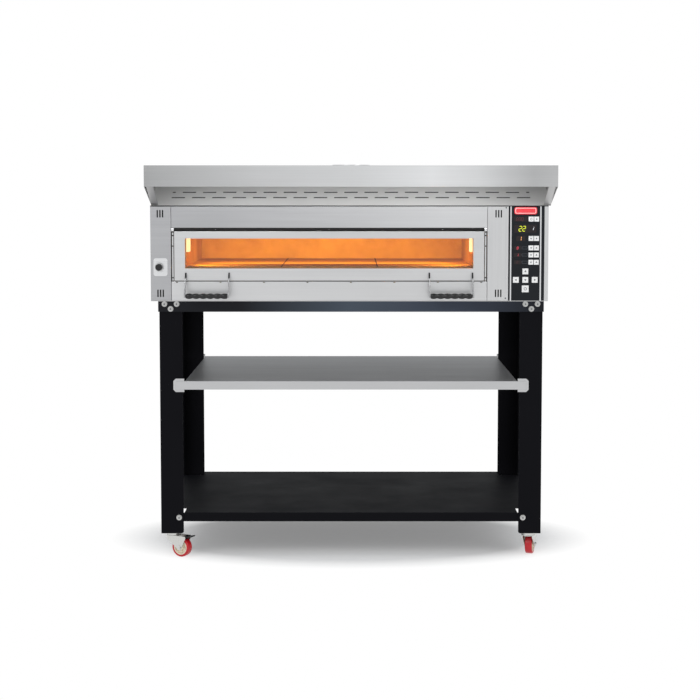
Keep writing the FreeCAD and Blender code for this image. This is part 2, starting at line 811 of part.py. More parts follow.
def pedal(name, x, y, turn):
    """A brake pedal on its pin, with a shoe that stops just short of the tread."""
    solid = body(f"{name}_lever")
    # the lever's side outline, drawn about its pin
    outline = [("-6", "-4"), ("-4", "-5.5"), ("4", "-5.5"), ("10", "-3"), ("pedal_reach", "2"),
               ("pedal_reach + 2", "6"), ("pedal_reach", "7"), ("10", "3"), ("4", "5"), ("-4", "5")]
    pad(solid, draw(solid, "YZ_Plane", [outline]), "pedal_width", "both")
    move(solid, y="pedal_pin_back", z="pedal_pin_rise")
    hole = rod(f"{name}_hole", "X", "pedal_pin_radius + running_fit", "pedal_width + 2 * overcut",
               "-pedal_width / 2 - overcut", "pedal_pin_back", "pedal_pin_rise")
    return place_caster(cut(name, solid, [hole]), x, y, turn)


mounts = []
for corner, sx, sy in CORNERS:
    x = f"({sx} * {LEG_MIDDLE_X})"
    y = f"({STAND_MIDDLE} + {sy} * {LEG_MIDDLE_Y})"
    turn = f"{corner}_turn"
    braked = sy < 0
    mounts.append(caster_mount(f"caster_mount_{corner}", x, y))
    keep(f"caster_fork_{corner}", fork(f"caster_fork_{corner}", x, y, turn, braked))
    keep(f"caster_wheel_{corner}", wheel(f"caster_wheel_{corner}", x, y, turn))
    if braked:
        keep(f"brake_pedal_{corner}", pedal(f"brake_pedal_{corner}", x, y, turn))
keep("caster_plates", group("caster_plates", mounts))

# ---------------------------------------------------------------- oven body

keep("base_tray", block("base_tray", (LEFT, RIGHT), (FRONT, BACK), (STAND_TOP, INSIDE_LOW)))
keep("top_cover", block("top_cover", (LEFT, RIGHT), (FRONT, BACK), (INSIDE_HIGH, OVEN_TOP)))

UPRIGHT = (INSIDE_LOW, INSIDE_HIGH)
left_side = block("left_side", (LEFT, f"{LEFT} + skin"), (f"{FRONT} + fold_depth", BACK), UPRIGHT)
right_side = join("right_side", [
    block("right_side_sheet", (f"{RIGHT} - skin", RIGHT), (FRONT, BACK), UPRIGHT),
    block("right_side_return", (PANEL_RIGHT, RIGHT), (FRONT, f"{FRONT} + skin"), UPRIGHT),
])
keep("side_panels", group("side_panels", [left_side, right_side]))

GLAND_X = f"({RIGHT} - gland_side)"

def rear_cover():
    """The back of the oven, set in from the side panels, with a row of vents and the cable's hole."""
    solid = body("rear_sheet")
    width = f"({RIGHT} - {LEFT} - 2 * skin)"
    height = f"({INSIDE_HIGH} - {INSIDE_LOW})"
    pad(solid, draw(solid, "XZ_Plane", [box_outline(("0", width), ("0", height))]), "skin")
    slot_x = f"({width} - rear_vent_side)"
    slot_top = f"({height} - rear_vent_drop)"
    slot = box_outline((slot_x, f"{slot_x} + vent_width"), (f"{slot_top} - rear_vent_height", slot_top))
    sketch = draw(solid, "XZ_Plane", [slot], offset="skin")
    opening = pocket(solid, sketch, "2 * skin")
    repeat(solid, opening, sketch, "H_Axis", "(rear_vents - 1) * rear_vent_pitch", "rear_vents")
    move(solid, f"{LEFT} + skin", REAR_FACE, INSIDE_LOW)
    hole = rod("gland_hole", "Y", "gland_radius + slack", "2 * overcut", GLAND_X, f"{REAR_FACE} - overcut",
               f"{STAND_TOP} + gland_rise")
    return cut("rear_cover", solid, [hole])


keep("rear_cover", rear_cover())


def cable_gland():
    """A gland for the supply cable, turned about its bore."""
    solid = body("cable_gland")
    outline = [("gland_bore", "-gland_tail"), ("gland_radius", "-gland_tail"), ("gland_radius", "0"),
               ("gland_flange", "0"), ("gland_flange", "gland_flange_thick"),
               ("gland_nut_radius", "gland_flange_thick + 1"),
               ("gland_nut_radius", "gland_reach - gland_chamfer"),
               ("gland_radius", "gland_reach"), ("gland_bore", "gland_reach")]
    revolve(solid, draw(solid, "XZ_Plane", [outline]))
    solid.Placement.Rotation = TURNS["Y"]
    return move(solid, GLAND_X, REAR_FACE, f"{STAND_TOP} + gland_rise")


keep("cable_gland", cable_gland())


def hinge_hole(name, x):
    """The bush hole for a hinge pin in the folded side of a front panel."""
    return rod(name, "X", "hinge_pin_radius + running_fit", "4 * skin", f"{x} - 2 * skin", HINGE_Y, HINGE_Z)


VENT_LOW = f"({STAND_TOP} + vent_inset)"
VENT_HIGH = f"({OVEN_TOP} - vent_inset - vent_height)"

left_panel = folded_panel("left_folded", (LEFT, BAY_LEFT), UPRIGHT)
DAMPER_X = f"({LEFT} + damper_at)"
DAMPER_Z = f"({STAND_TOP} + damper_rise)"
damper_plate = block("damper_plate", around(f"{DAMPER_X} + damper_plate_shift", "damper_plate_width"),
                     (f"{FRONT} - damper_plate_thick", FRONT), around(DAMPER_Z, "damper_plate_height"))
damper_hole = rod("damper_hole", "Y", "damper_rod_radius + running_fit", "2 * overcut", DAMPER_X,
                  f"{FRONT} - overcut", DAMPER_Z)
left_vents = f"({LEFT} + left_vent_at)"
left_cuts = [damper_hole, hinge_hole("left_hinge_hole", BAY_LEFT)]
left_cuts += vent_slots("left_low_vent", left_vents, VENT_LOW)
left_cuts += vent_slots("left_high_vent", left_vents, VENT_HIGH)
plated_panel = join("left_panel_plate", [left_panel, damper_plate])
keep("left_front_panel", cut("left_front_panel", plated_panel, left_cuts))

right_panel = folded_panel("vent_folded", (BAY_RIGHT, f"{PANEL_LEFT} - panel_gap"), UPRIGHT)
right_vents = f"({BAY_RIGHT} + right_vent_at)"
right_cuts = [hinge_hole("right_hinge_hole", BAY_RIGHT)]
right_cuts += vent_slots("right_low_vent", right_vents, VENT_LOW)
right_cuts += vent_slots("right_high_vent", right_vents, VENT_HIGH)
keep("vent_panel", cut("vent_panel", right_panel, right_cuts))

BAY = (f"{BAY_LEFT} + panel_gap", f"{BAY_RIGHT} - panel_gap")
keep("upper_front_panel", folded_panel("upper_front_panel", BAY, (f"{DOOR_HIGH} + hinge_band", INSIDE_HIGH)))

lower_front = folded_panel("lower_folded", BAY, (INSIDE_LOW, f"{STAND_TOP} + lower_panel"))
NOTCHES = 8
notch_pitch = f"(({BAY_RIGHT} - {BAY_LEFT} - 2 * notch_inset) / {NOTCHES - 1})"
notches = []
for step in range(NOTCHES):
    middle = f"({BAY_LEFT} + notch_inset + {step} * {notch_pitch})"
    notches.append(block(f"notch_{step}", around(middle, "notch_width"),
                         (f"{FRONT} - overcut", f"{FRONT} + notch_depth"),
                         (f"{STAND_TOP} + lower_panel - notch_height", f"{STAND_TOP} + lower_panel + 1")))
keep("lower_front_panel", cut("lower_front_panel", lower_front, notches))

# ---------------------------------------------------------------- damper


def damper_knob():
    """A pull knob on the rod that works the steam damper."""
    solid = body("damper_knob")
    outline = [("0", "-damper_rod_length"), ("damper_rod_radius", "-damper_rod_length"),
               ("damper_rod_radius", "damper_knob_gap"), ("damper_neck_radius", "damper_knob_gap"),
               ("damper_knob_radius", "damper_knob_depth / 2"),
               ("damper_knob_radius", "damper_knob_depth"), ("0", "damper_knob_depth")]
    revolve(solid, draw(solid, "XZ_Plane", [outline]))
    rim = worth("damper_knob_depth")
    round_edges(solid, "damper_knob_round", on_plane("z", rim))
    solid.Placement.Rotation = FreeCAD.Rotation(FreeCAD.Vector(1, 0, 0), 90)
    return move(solid, DAMPER_X, f"{FRONT} - damper_plate_thick", DAMPER_Z)


keep("damper_knob", damper_knob())

# ---------------------------------------------------------------- baking chamber

OUTER = [(f"{CHAMBER_LEFT} - liner", f"{CHAMBER_RIGHT} + liner"), (CHAMBER_FRONT, f"{CHAMBER_BACK} + liner"),
         (f"{CHAMBER_LOW} - liner", f"{CHAMBER_HIGH} + liner")]
INNER = [(CHAMBER_LEFT, CHAMBER_RIGHT), (f"{CHAMBER_FRONT} - overcut", CHAMBER_BACK),
         (CHAMBER_LOW, CHAMBER_HIGH)]
STONES = 3
STONE_PITCH = f"(({CHAMBER_RIGHT} - {CHAMBER_LEFT}) / {STONES})"


def element(name, middle, z):
    """A hairpin heating tube: two straight runs that leave through the back, and a bend at the front."""
    bend_y = f"({CHAMBER_FRONT} + element_front + element_spacing / 2)"
    tail_y = f"({CHAMBER_BACK} + element_tail)"
    runs = []
    for side, sx in SIDES:
        runs.append(rod(f"{name}_{side}", "Y", "element_radius", f"{tail_y} - {bend_y}",
                        f"{middle} + {sx} * element_spacing / 2", bend_y, z))
    bend = doc.addObject("Part::Torus", f"{name}_bend")
    bend.Placement.Rotation = FreeCAD.Rotation(FreeCAD.Vector(0, 0, 1), 180)
    bend.Angle3 = 180
    bind(bend, {"Radius1": "element_spacing / 2", "Radius2": "element_radius"})
    move(bend, middle, bend_y, z)
    return join(name, runs + [bend])


def element_holes(name, z):
    """The holes in the liner's back that one level of heating tubes passes through."""
    return [rod(f"{name}_{bay}_{side}", "Y", "element_radius + slack", "2 * overcut",
                f"{CHAMBER_LEFT} + ({bay} + 0.5) * {STONE_PITCH} + {sx} * element_spacing / 2",
                f"{CHAMBER_BACK} - overcut", z)
            for bay in range(STONES) for side, sx in SIDES]


LOW_ELEMENT = f"({CHAMBER_LOW} + element_below)"
HIGH_ELEMENT = f"({CHAMBER_HIGH} - element_above)"


def chamber_liner():
    """The steel box that the stones lie in, with its mouth frame and the rails under the stones."""
    shell = cut("liner_box", block("liner_outer", *OUTER), [block("liner_inner", *INNER)])
    sheet_y = (f"{CHAMBER_FRONT} - skin", CHAMBER_FRONT)
    opening_y = (f"{CHAMBER_FRONT} - overcut", f"{CHAMBER_FRONT} + overcut")
    mouth = cut("mouth_frame", block("mouth_sheet", (DOOR_LEFT, DOOR_RIGHT), sheet_y, (DOOR_LOW, DOOR_HIGH)),
                [block("mouth_opening", INNER[0], opening_y, INNER[2])])
    rails = []
    for step in range(STONES + 1):
        x = around(f"{CHAMBER_LEFT} + {step} * {STONE_PITCH}", "2 * rail_width")
        rails.append(block(f"stone_rail_{step}", x, (CHAMBER_FRONT, CHAMBER_BACK),
                           (f"{CHAMBER_LOW} - liner", f"{CHAMBER_LOW} + rail_rise")))
    limit = block("rail_limit", (f"{CHAMBER_LEFT} - liner", f"{CHAMBER_RIGHT} + liner"),
                  (CHAMBER_FRONT, CHAMBER_BACK), (f"{CHAMBER_LOW} - liner", CHAMBER_HIGH))
    kept = doc.addObject("Part::Common", "stone_rails")
    kept.Base = join("stone_rail_set", rails)
    kept.Tool = limit
    holes = element_holes("low_element_hole", LOW_ELEMENT)
    holes += element_holes("high_element_hole", HIGH_ELEMENT)
    return cut("chamber_liner", join("liner_whole", [shell, mouth, kept]), holes)


keep("chamber_liner", chamber_liner())

stones = []
elements = []
for bay in range(STONES):
    low = f"{CHAMBER_LEFT} + {bay} * {STONE_PITCH} + stone_gap / 2"
    stones.append(block(f"stone_{bay}", (low, f"{low} + {STONE_PITCH} - stone_gap"),
                        (f"{CHAMBER_FRONT} + stone_gap", f"{CHAMBER_BACK} - stone_gap"),
                        (f"{CHAMBER_LOW} + rail_rise", f"{CHAMBER_LOW} + rail_rise + stone_thick")))
    middle = f"{CHAMBER_LEFT} + ({bay} + 0.5) * {STONE_PITCH}"
    elements.append(element(f"low_element_{bay}", middle, LOW_ELEMENT))
    elements.append(element(f"high_element_{bay}", middle, HIGH_ELEMENT))
keep("baking_stones", group("baking_stones", stones))
keep("heating_elements", group("heating_elements", elements))

lamps = []
for side, wall, sx in (("left", CHAMBER_LEFT, 1), ("right", CHAMBER_RIGHT, -1)):
    high = f"{CHAMBER_HIGH} - lamp_drop"
    lamps.append(block(f"{side}_lamp", span(sx, "0", "lamp_thick", wall),
                       (f"{CHAMBER_FRONT} + lamp_back", f"{CHAMBER_FRONT} + lamp_back + lamp_depth"),
                       (f"{high} - lamp_height", high)))
keep("chamber_lamps", group("chamber_lamps", lamps))


def insulation():
    """Mineral wool packed round the liner, from the base tray to the top cover."""
    wool = block("wool_outer", (f"{CHAMBER_LEFT} - wool", f"{CHAMBER_RIGHT} + wool"),
                 (CHAMBER_FRONT, f"{CHAMBER_BACK} + wool"), UPRIGHT)
    hollow = block("wool_hollow", OUTER[0], (f"{CHAMBER_FRONT} - overcut", OUTER[1][1]), OUTER[2])
    tubes = element_tubes("low_tube", LOW_ELEMENT) + element_tubes("high_tube", HIGH_ELEMENT)
    return cut("insulation", wool, [hollow] + tubes)


def element_tubes(name, z):
    """The ways through the wool for one level of heating tubes."""
    return [rod(f"{name}_{bay}_{side}", "Y", "element_radius + slack", "wool + overcut",
                f"{CHAMBER_LEFT} + ({bay} + 0.5) * {STONE_PITCH} + {sx} * element_spacing / 2",
                CHAMBER_BACK, z)
            for bay in range(STONES) for side, sx in SIDES]


keep("insulation", insulation())

# ---------------------------------------------------------------- door

WINDOW_X = (f"{DOOR_LEFT} + window_side", f"{DOOR_RIGHT} - window_side")
WINDOW_Z = (f"{DOOR_LOW} + window_below", f"{DOOR_HIGH} - window_above")
DOOR_BACK = f"({DOOR_FACE} + door_depth)"


def door_frame():
    """The outer door pan: a folded rim, a front skin, and folded edges round the window."""
    solid = body("door_pan")
    rim = box_outline(("0", DOOR_WIDE), ("0", DOOR_TALL))
    inside = box_outline(("skin", f"{DOOR_WIDE} - skin"), ("skin", f"{DOOR_TALL} - skin"))
    window = box_outline(("window_side", f"{DOOR_WIDE} - window_side"),
                         ("window_below", f"{DOOR_TALL} - window_above"))
    sleeve = box_outline(("window_side - skin", f"{DOOR_WIDE} - window_side + skin"),
                         ("window_below - skin", f"{DOOR_TALL} - window_above + skin"))
    pad(solid, draw(solid, "XZ_Plane", [rim, inside]), "door_depth - skin", "in")
    pad(solid, draw(solid, "XZ_Plane", [rim, window]), "skin", "in")
    pad(solid, draw(solid, "XZ_Plane", [sleeve, window]), "glass_lap", "in")
    wide = worth(DOOR_WIDE)
    tall = worth(DOOR_TALL)
    on_face = on_plane("y", 0)

    def face_rim(edge):
        middle = edge.CenterOfMass
        to_rim = min(abs(middle.x), abs(middle.x - wide), abs(middle.z), abs(middle.z - tall))
        return on_face(edge) and to_rim < 1e-3

    round_edges(solid, "door_round", face_rim)
    return move(solid, DOOR_LEFT, DOOR_FACE, DOOR_LOW)


def door_inner_panel():
    """The inner door skin, with its own window opening."""
    skin_y = (f"{DOOR_BACK} - skin", DOOR_BACK)
    whole = block("inner_skin", (DOOR_LEFT, DOOR_RIGHT), skin_y, (DOOR_LOW, DOOR_HIGH))
    sleeve_y = (f"{DOOR_FACE} + glass_lap + glass_thick", DOOR_BACK)
    sleeve = block("inner_sleeve", (f"{WINDOW_X[0]} - skin", f"{WINDOW_X[1]} + skin"), sleeve_y,
                   (f"{WINDOW_Z[0]} - skin", f"{WINDOW_Z[1]} + skin"))
    opening = block("inner_opening", WINDOW_X, (DOOR_FACE, f"{DOOR_BACK} + overcut"), WINDOW_Z)
    return cut("door_inner_panel", join("inner_panel_whole", [whole, sleeve]), [opening])


def door_glass():
    """The window pane, held between the two skins' folded edges."""
    y = (f"{DOOR_FACE} + glass_lap", f"{DOOR_FACE} + glass_lap + glass_thick")
    return block("door_glass", (f"{WINDOW_X[0]} - glass_lap", f"{WINDOW_X[1]} + glass_lap"), y,
                 (f"{WINDOW_Z[0]} - glass_lap", f"{WINDOW_Z[1]} + glass_lap"))


def hinge_bar():
    """The round bar along the door's top edge, bored at each end for its pin."""
    bar = rod("hinge_rod", "X", "hinge_bar_radius", DOOR_WIDE, DOOR_LEFT, HINGE_Y, HINGE_Z)
    length = "hinge_pin_grip + overcut"
    left_bore = rod("left_pin_bore", "X", "hinge_pin_radius", length, f"{DOOR_LEFT} - overcut",
                    HINGE_Y, HINGE_Z)
    right_bore = rod("right_pin_bore", "X", "hinge_pin_radius", length, f"{DOOR_RIGHT} - hinge_pin_grip",
                     HINGE_Y, HINGE_Z)
    return cut("hinge_bar", bar, [left_bore, right_bore])


def hinge_pin(name, start):
    length = "hinge_pin_grip + door_side_gap + hinge_pin_reach"
    return rod(name, "X", "hinge_pin_radius", length, start, HINGE_Y, HINGE_Z)


def handle_arm(name, x):
    """A flat arm from the door's face, forward and down to the grip."""
    arm = body(name)
    side = "arm_width / 2"
    foot_low = "grip_drop + arm_drop - arm_foot / 2"
    foot_high = "grip_drop + arm_drop + arm_foot / 2"
    outline = [("0", foot_low), ("0", foot_high), ("-arm_foot_thick", foot_high),
               (f"-grip_reach - {side}", side), (f"-grip_reach - {side}", f"-{side}"),
               (f"-grip_reach + {side}", f"-{side}"), ("-arm_foot_thick", foot_low)]
    pad(arm, draw(arm, "YZ_Plane", [outline]), "arm_thick", "both")
    return move(arm, x, DOOR_FACE, GRIP_Z)


keep("door_frame", door_frame())
keep("door_inner_panel", door_inner_panel())
keep("door_glass", door_glass())
keep("door_hinge", group("door_hinge", [
    hinge_bar(),
    hinge_pin("left_hinge_pin", f"{BAY_LEFT} - hinge_pin_reach"),
    hinge_pin("right_hinge_pin", f"{DOOR_RIGHT} - hinge_pin_grip"),
]))

arms = []
grips = []
for side, sx in SIDES:
    middle = f"({BAY_MIDDLE} + {sx} * ({DOOR_WIDE} / 2 - handle_inset))"
    low_x = f"{middle} - arm_spacing / 2"
    high_x = f"{middle} + arm_spacing / 2"
    core = rod(f"{side}_grip_core", "X", "grip_core", "arm_spacing", low_x, GRIP_Y, GRIP_Z)
    low_arm = handle_arm(f"{side}_arm_low", low_x)
    high_arm = handle_arm(f"{side}_arm_high", high_x)
    arms.append(join(f"{side}_handle", [low_arm, high_arm, core]))
    grip = rod(f"{side}_grip_outer", "X", "grip_radius", "arm_spacing - arm_thick - 2 * slack",
               f"{low_x} + arm_thick / 2 + slack", GRIP_Y, GRIP_Z)
    bore = rod(f"{side}_grip_bore", "X", "grip_core", "arm_spacing", low_x, GRIP_Y, GRIP_Z)
    grips.append(cut(f"{side}_grip", grip, [bore]))
keep("handle_arms", group("handle_arms", arms))
keep("handle_grips", group("handle_grips", grips))

# ---------------------------------------------------------------- control panel

LEFT_COLUMN = f"({PANEL_RIGHT} - right_column - small_key - key_gap)"
RIGHT_COLUMN = f"({PANEL_RIGHT} - right_column)"
ARROW_X = f"({PANEL_LEFT} + arrow_middle)"
KEYS = {
    "lamp_key": (LEFT_COLUMN, "switch_row", "small_key"),
    "fan_key": (RIGHT_COLUMN, "switch_row", "small_key"),
    "program_down_key": (LEFT_COLUMN, "program_row", "small_key"),
    "program_up_key": (RIGHT_COLUMN, "program_row", "small_key"),
    "top_heat_down_key": (LEFT_COLUMN, "top_heat_row", "small_key"),
    "top_heat_up_key": (RIGHT_COLUMN, "top_heat_row", "small_key"),
    "bottom_heat_down_key": (LEFT_COLUMN, "bottom_heat_row", "small_key"),
    "bottom_heat_up_key": (RIGHT_COLUMN, "bottom_heat_row", "small_key"),
    "timer_down_key": (LEFT_COLUMN, "timer_row", "small_key"),
    "timer_up_key": (RIGHT_COLUMN, "timer_row", "small_key"),
    "arrow_up_key": (ARROW_X, "(arrow_row + arrow_rise)", "arrow_key"),
    "arrow_left_key": (f"({ARROW_X} - arrow_pitch)", "arrow_row", "arrow_key"),
    "arrow_down_key": (ARROW_X, "arrow_row", "arrow_key"),
    "arrow_right_key": (f"({ARROW_X} + arrow_pitch)", "arrow_row", "arrow_key"),
    "power_key": (ARROW_X, "power_row", "power_key"),
}


def level(row):
    """The height of one row of keys and displays: the layout spreads with the oven's height."""
    return f"({STAND_TOP} + {row} * oven_height / layout_height)"


def key(name, x, row, width):
    """A square key whose cap stands through the panel, with a wider rim behind the sheet."""
    solid = body(name)
    cap = box_outline(around("0", width), around("0", width))
    rim_side = around("0", f"{width} + 2 * key_rim")
    rim = box_outline(rim_side, rim_side)
    pad(solid, draw(solid, "XZ_Plane", [cap]), "key_proud + skin + slack", "in")
    round_edges(solid, "key_round", on_plane("y", 0))
    pad(solid, draw(solid, "XZ_Plane", [rim], offset="-(key_proud + skin + slack)"), "key_rim", "in")
    return move(solid, x, f"{FRONT} - key_proud", level(row))


panel = folded_panel("control_folded", (PANEL_LEFT, PANEL_RIGHT), UPRIGHT)
key_holes = []
for name, (x, row, width) in KEYS.items():
    hole = f"{width} + 2 * slack"
    key_holes.append(block(f"{name}_hole", around(x, hole), (f"{FRONT} - overcut", f"{FRONT} + overcut"),
                           around(level(row), hole)))
    keep(name, key(name, x, row, width))
keep("control_panel", cut("control_panel", panel, key_holes))

trims = []
for name, start in (("left_trim", f"{PANEL_LEFT} + left_trim_at"),
                    ("right_trim", f"{PANEL_RIGHT} - right_trim_at")):
    trims.append(block(name, (start, f"{start} + trim_width"), (f"{FRONT} - trim_proud", FRONT), UPRIGHT))
keep("panel_trims", group("panel_trims", trims))

DISPLAYS = {
    "status_window": ("status_at", "switch_row", "status_width", "status_height"),
    "clock_window": ("clock_at", "clock_row", "clock_width", "clock_height"),
    "program_window": ("status_at", "program_row", "program_width", "program_height"),
}
for name in ("top_heat", "bottom_heat", "timer"):
    DISPLAYS[f"{name}_window"] = ("small_display_at", f"{name}_row", "small_display_width",
                                  "small_display_height")
windows = []
for name, (across, row, width, height) in DISPLAYS.items():
    windows.append(block(name, around(f"{PANEL_LEFT} + {across}", width),
                         (f"{FRONT} - display_thick", FRONT), around(level(row), height)))
keep("display_windows", group("display_windows", windows))


def control_board():
    """The circuit board behind the keys, on posts from the back of the panel."""
    board_y = f"({FRONT} + skin + slack + key_rim + key_travel + slack)"
    low = f"({STAND_TOP} + board_inset)"
    high = f"({OVEN_TOP} - board_inset)"
    board = block("board", (f"{PANEL_LEFT} + board_side", f"{PANEL_RIGHT} - board_side"),
                  (board_y, f"{board_y} + board_thick"), (low, high))
    pieces = [board]
    for side, x in (("left", f"{PANEL_LEFT} + post_side"), ("right", f"{PANEL_RIGHT} - post_side")):
        for end, z in (("low", f"{low} + post_end"), ("high", f"{high} - post_end")):
            pieces.append(rod(f"{side}_{end}_post", "Y", "post_radius", f"{board_y} - {FRONT} - skin",
                              x, f"{FRONT} + skin", z))
    return join("control_board", pieces)


keep("control_board", control_board())

# ---------------------------------------------------------------- hood

HOOD_FRONT = f"({FRONT} - hood_reach)"
HOOD_WIDTH = "(oven_width + 2 * hood_overhang)"
HOOD_BACK_WIDTH = "(oven_width + 2 * hood_fit)"


def plan(inset):
    """The hood's outline from above: a little wider at its front than over the oven."""
    front_half = f"({HOOD_WIDTH} / 2 - {inset})"
    back_half = f"({HOOD_BACK_WIDTH} / 2 - {inset})"
    front_y = f"({HOOD_FRONT} + {inset})"
    back_y = f"({BACK} - {inset})"
    return [(f"-{front_half}", front_y), (front_half, front_y), (back_half, FRONT), (back_half, back_y),
            (f"-{back_half}", back_y), (f"-{back_half}", FRONT)]


def hood_shell():
    """The folded hood: top, fascia, tapering cheeks and back, with flanges round its front mouth."""
    solid = body("hood_sheet")
    pad(solid, draw(solid, "XY_Plane", [plan("0")]), "hood_height")
    hollow = draw(solid, "XY_Plane", [plan("hood_skin")])
    pocket(solid, hollow, "hood_height - hood_skin", "out")
    lip = "(hood_height - fascia_height)"
    ahead = f"({HOOD_FRONT} - overcut)"
    slope = [(ahead, "-overcut"), (ahead, lip), (HOOD_FRONT, lip), (FRONT, "cheek_foot"), (FRONT, "-overcut")]
    pocket(solid, draw(solid, "YZ_Plane", [slope]), f"{HOOD_WIDTH} + 2 * overcut", "both")
    return solid, lip


def mouth_flanges(solid, lip):
    """The lip under the fascia and the flanges along the cheeks' slopes, folded inwards."""
    fold = [(HOOD_FRONT, lip), (f"{HOOD_FRONT} + fascia_lip", lip),
            (f"{HOOD_FRONT} + fascia_lip", f"{lip} + hood_skin"), (HOOD_FRONT, f"{lip} + hood_skin")]
    pad(solid, draw(solid, "YZ_Plane", [fold]), f"{HOOD_WIDTH} - 2 * hood_skin", "both")
    strip = [(HOOD_FRONT, lip), (FRONT, "cheek_foot"), (FRONT, "cheek_foot + hood_skin"),
             (HOOD_FRONT, f"{lip} + hood_skin")]
    for sign in (-1, 1):
        edge = f"({sign} * ({HOOD_BACK_WIDTH} / 2 - hood_skin - cheek_flange))"
        sketch = draw(solid, "YZ_Plane", [strip], offset=edge)
        pad(solid, sketch, "cheek_flange + hood_skin / 2", "out" if sign > 0 else "in")
    return solid


hood, mouth_lip = hood_shell()
mouth_flanges(hood, mouth_lip)
move(hood, z=OVEN_TOP)
FLUE_Y = f"({BACK} - flue_from_back)"
flue_hole = rod("flue_hole", "Z", "flue_radius + flue_wall", "2 * overcut", "0", FLUE_Y,
                f"{HOOD_TOP} - overcut")
keep("hood_shell", cut("hood_shell", hood, [flue_hole]))


def hood_baffle():
    """The leaning plate behind the hood's mouth, punched with two staggered rows of slots."""
    solid = body("hood_baffle")
    half = f"({HOOD_BACK_WIDTH} / 2 - hood_skin - slack)"
    length = "((hood_height - 2 * hood_skin - baffle_gap) / sin(baffle_lean))"
    lower_count = f"(floor((2 * ({half} - slot_margin) - slot_length) / slot_pitch) + 1)"
    pad(solid, draw(solid, "XY_Plane", [box_outline((f"-{half}", half), ("0", length))]), "hood_skin", "in")
    for count, up in ((lower_count, "lower_row"), (f"({lower_count} - 1)", "upper_row")):
        first = f"(-({count} - 1) * slot_pitch / 2)"
        slot = box_outline(around(first, "slot_length"), around(up, "slot_width"))
        sketch = draw(solid, "XY_Plane", [slot])
        punched = pocket(solid, sketch, "3 * hood_skin")
        repeat(solid, punched, sketch, "H_Axis", f"({count} - 1) * slot_pitch", count)
    end_at = f"(({lower_count} - 1) * slot_pitch / 2 + slot_length / 2 - end_slot / 2)"
    ends = [box_outline(around(f"{sign} * {end_at}", "end_slot"), around("upper_row", "slot_width"))
            for sign in (-1, 1)]
    pocket(solid, draw(solid, "XY_Plane", ends), "3 * hood_skin")
    solid.Placement.Rotation = FreeCAD.Rotation(FreeCAD.Vector(1, 0, 0), 10)
    bind(solid, {"Placement.Rotation.Angle": "baffle_lean"})
    return move(solid, "0", f"{FRONT} + hood_skin", f"{OVEN_TOP} + hood_skin + baffle_seat")


keep("hood_baffle", hood_baffle())


def flue_collar():
    """The collar that a duct plugs into, with a flange on the hood's top."""
    solid = body("flue_collar")
    wall = "(flue_radius + flue_wall)"
    flange = f"{wall} + flue_flange"
    outline = [("flue_radius", "-flue_depth"), (wall, "-flue_depth"), (wall, "0"), (flange, "0"),
               (flange, "flue_wall"), (wall, "flue_wall"), (wall, "flue_rise"), ("flue_radius", "flue_rise")]
    revolve(solid, draw(solid, "XZ_Plane", [outline]))
    return move(solid, "0", FLUE_Y, HOOD_TOP)


keep("flue_collar", flue_collar())

# ---------------------------------------------------------------- check and write the files

doc.recompute()
for item in doc.Objects:
    if "Invalid" in item.State or "Error" in item.State:
        raise RuntimeError(f"{item.Name} is {item.State}")
for item in NODES:
    if item.Shape.isNull() or not item.Shape.isValid():
        raise RuntimeError(f"{item.Label} has no valid shape")
if len({item.Label for item in NODES}) != len(NODES):
    raise RuntimeError("two nodes share a name")

os.makedirs("parts", exist_ok=True)
for item in NODES:
    item.Shape.exportStep(os.path.join("parts", f"{item.Label}.step"))
whole = Part.makeCompound([item.Shape for item in NODES]).BoundBox
print(f"{len(NODES)} nodes, box {whole.XMin:.1f} {whole.YMin:.1f} {whole.ZMin:.1f} "
      f"to {whole.XMax:.1f} {whole.YMax:.1f} {whole.ZMax:.1f}")
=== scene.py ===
import json
import math

import bmesh
import bpy
from mathutils import Matrix, Vector


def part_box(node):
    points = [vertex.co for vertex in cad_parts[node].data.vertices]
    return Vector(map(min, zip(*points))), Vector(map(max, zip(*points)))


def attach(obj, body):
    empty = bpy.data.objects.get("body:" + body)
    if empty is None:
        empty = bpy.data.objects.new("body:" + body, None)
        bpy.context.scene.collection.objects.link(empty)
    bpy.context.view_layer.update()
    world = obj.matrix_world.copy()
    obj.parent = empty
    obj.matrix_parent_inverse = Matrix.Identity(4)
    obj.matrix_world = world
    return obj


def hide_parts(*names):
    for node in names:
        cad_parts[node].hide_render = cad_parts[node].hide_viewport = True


# A single-deck bakery oven under its hood, on a castored stand, in soft studio light.
# Metres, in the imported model's own frame: X right, Y to the back, Z up from the floor.

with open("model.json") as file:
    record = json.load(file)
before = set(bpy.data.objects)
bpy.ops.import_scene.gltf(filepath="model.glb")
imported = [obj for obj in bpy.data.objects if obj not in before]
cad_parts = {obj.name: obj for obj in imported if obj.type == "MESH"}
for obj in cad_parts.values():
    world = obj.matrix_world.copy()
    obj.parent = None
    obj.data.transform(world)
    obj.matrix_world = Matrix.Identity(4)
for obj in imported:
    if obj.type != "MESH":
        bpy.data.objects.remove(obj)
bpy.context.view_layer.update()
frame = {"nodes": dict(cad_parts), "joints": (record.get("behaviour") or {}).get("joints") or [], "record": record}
NODES = frame["nodes"]
JOINTS = {joint["name"]: joint for joint in frame["joints"]}

# ---------------------------------------------------------------- materials


def tone(red, green, blue):
    """A display colour, 0 to 255, as the linear colour that a shader takes."""
    def linear(level):
        level = level / 255
        return level / 12.92 if level <= 0.04045 else ((level + 0.055) / 1.055) ** 2.4
    return (linear(red), linear(green), linear(blue), 1)


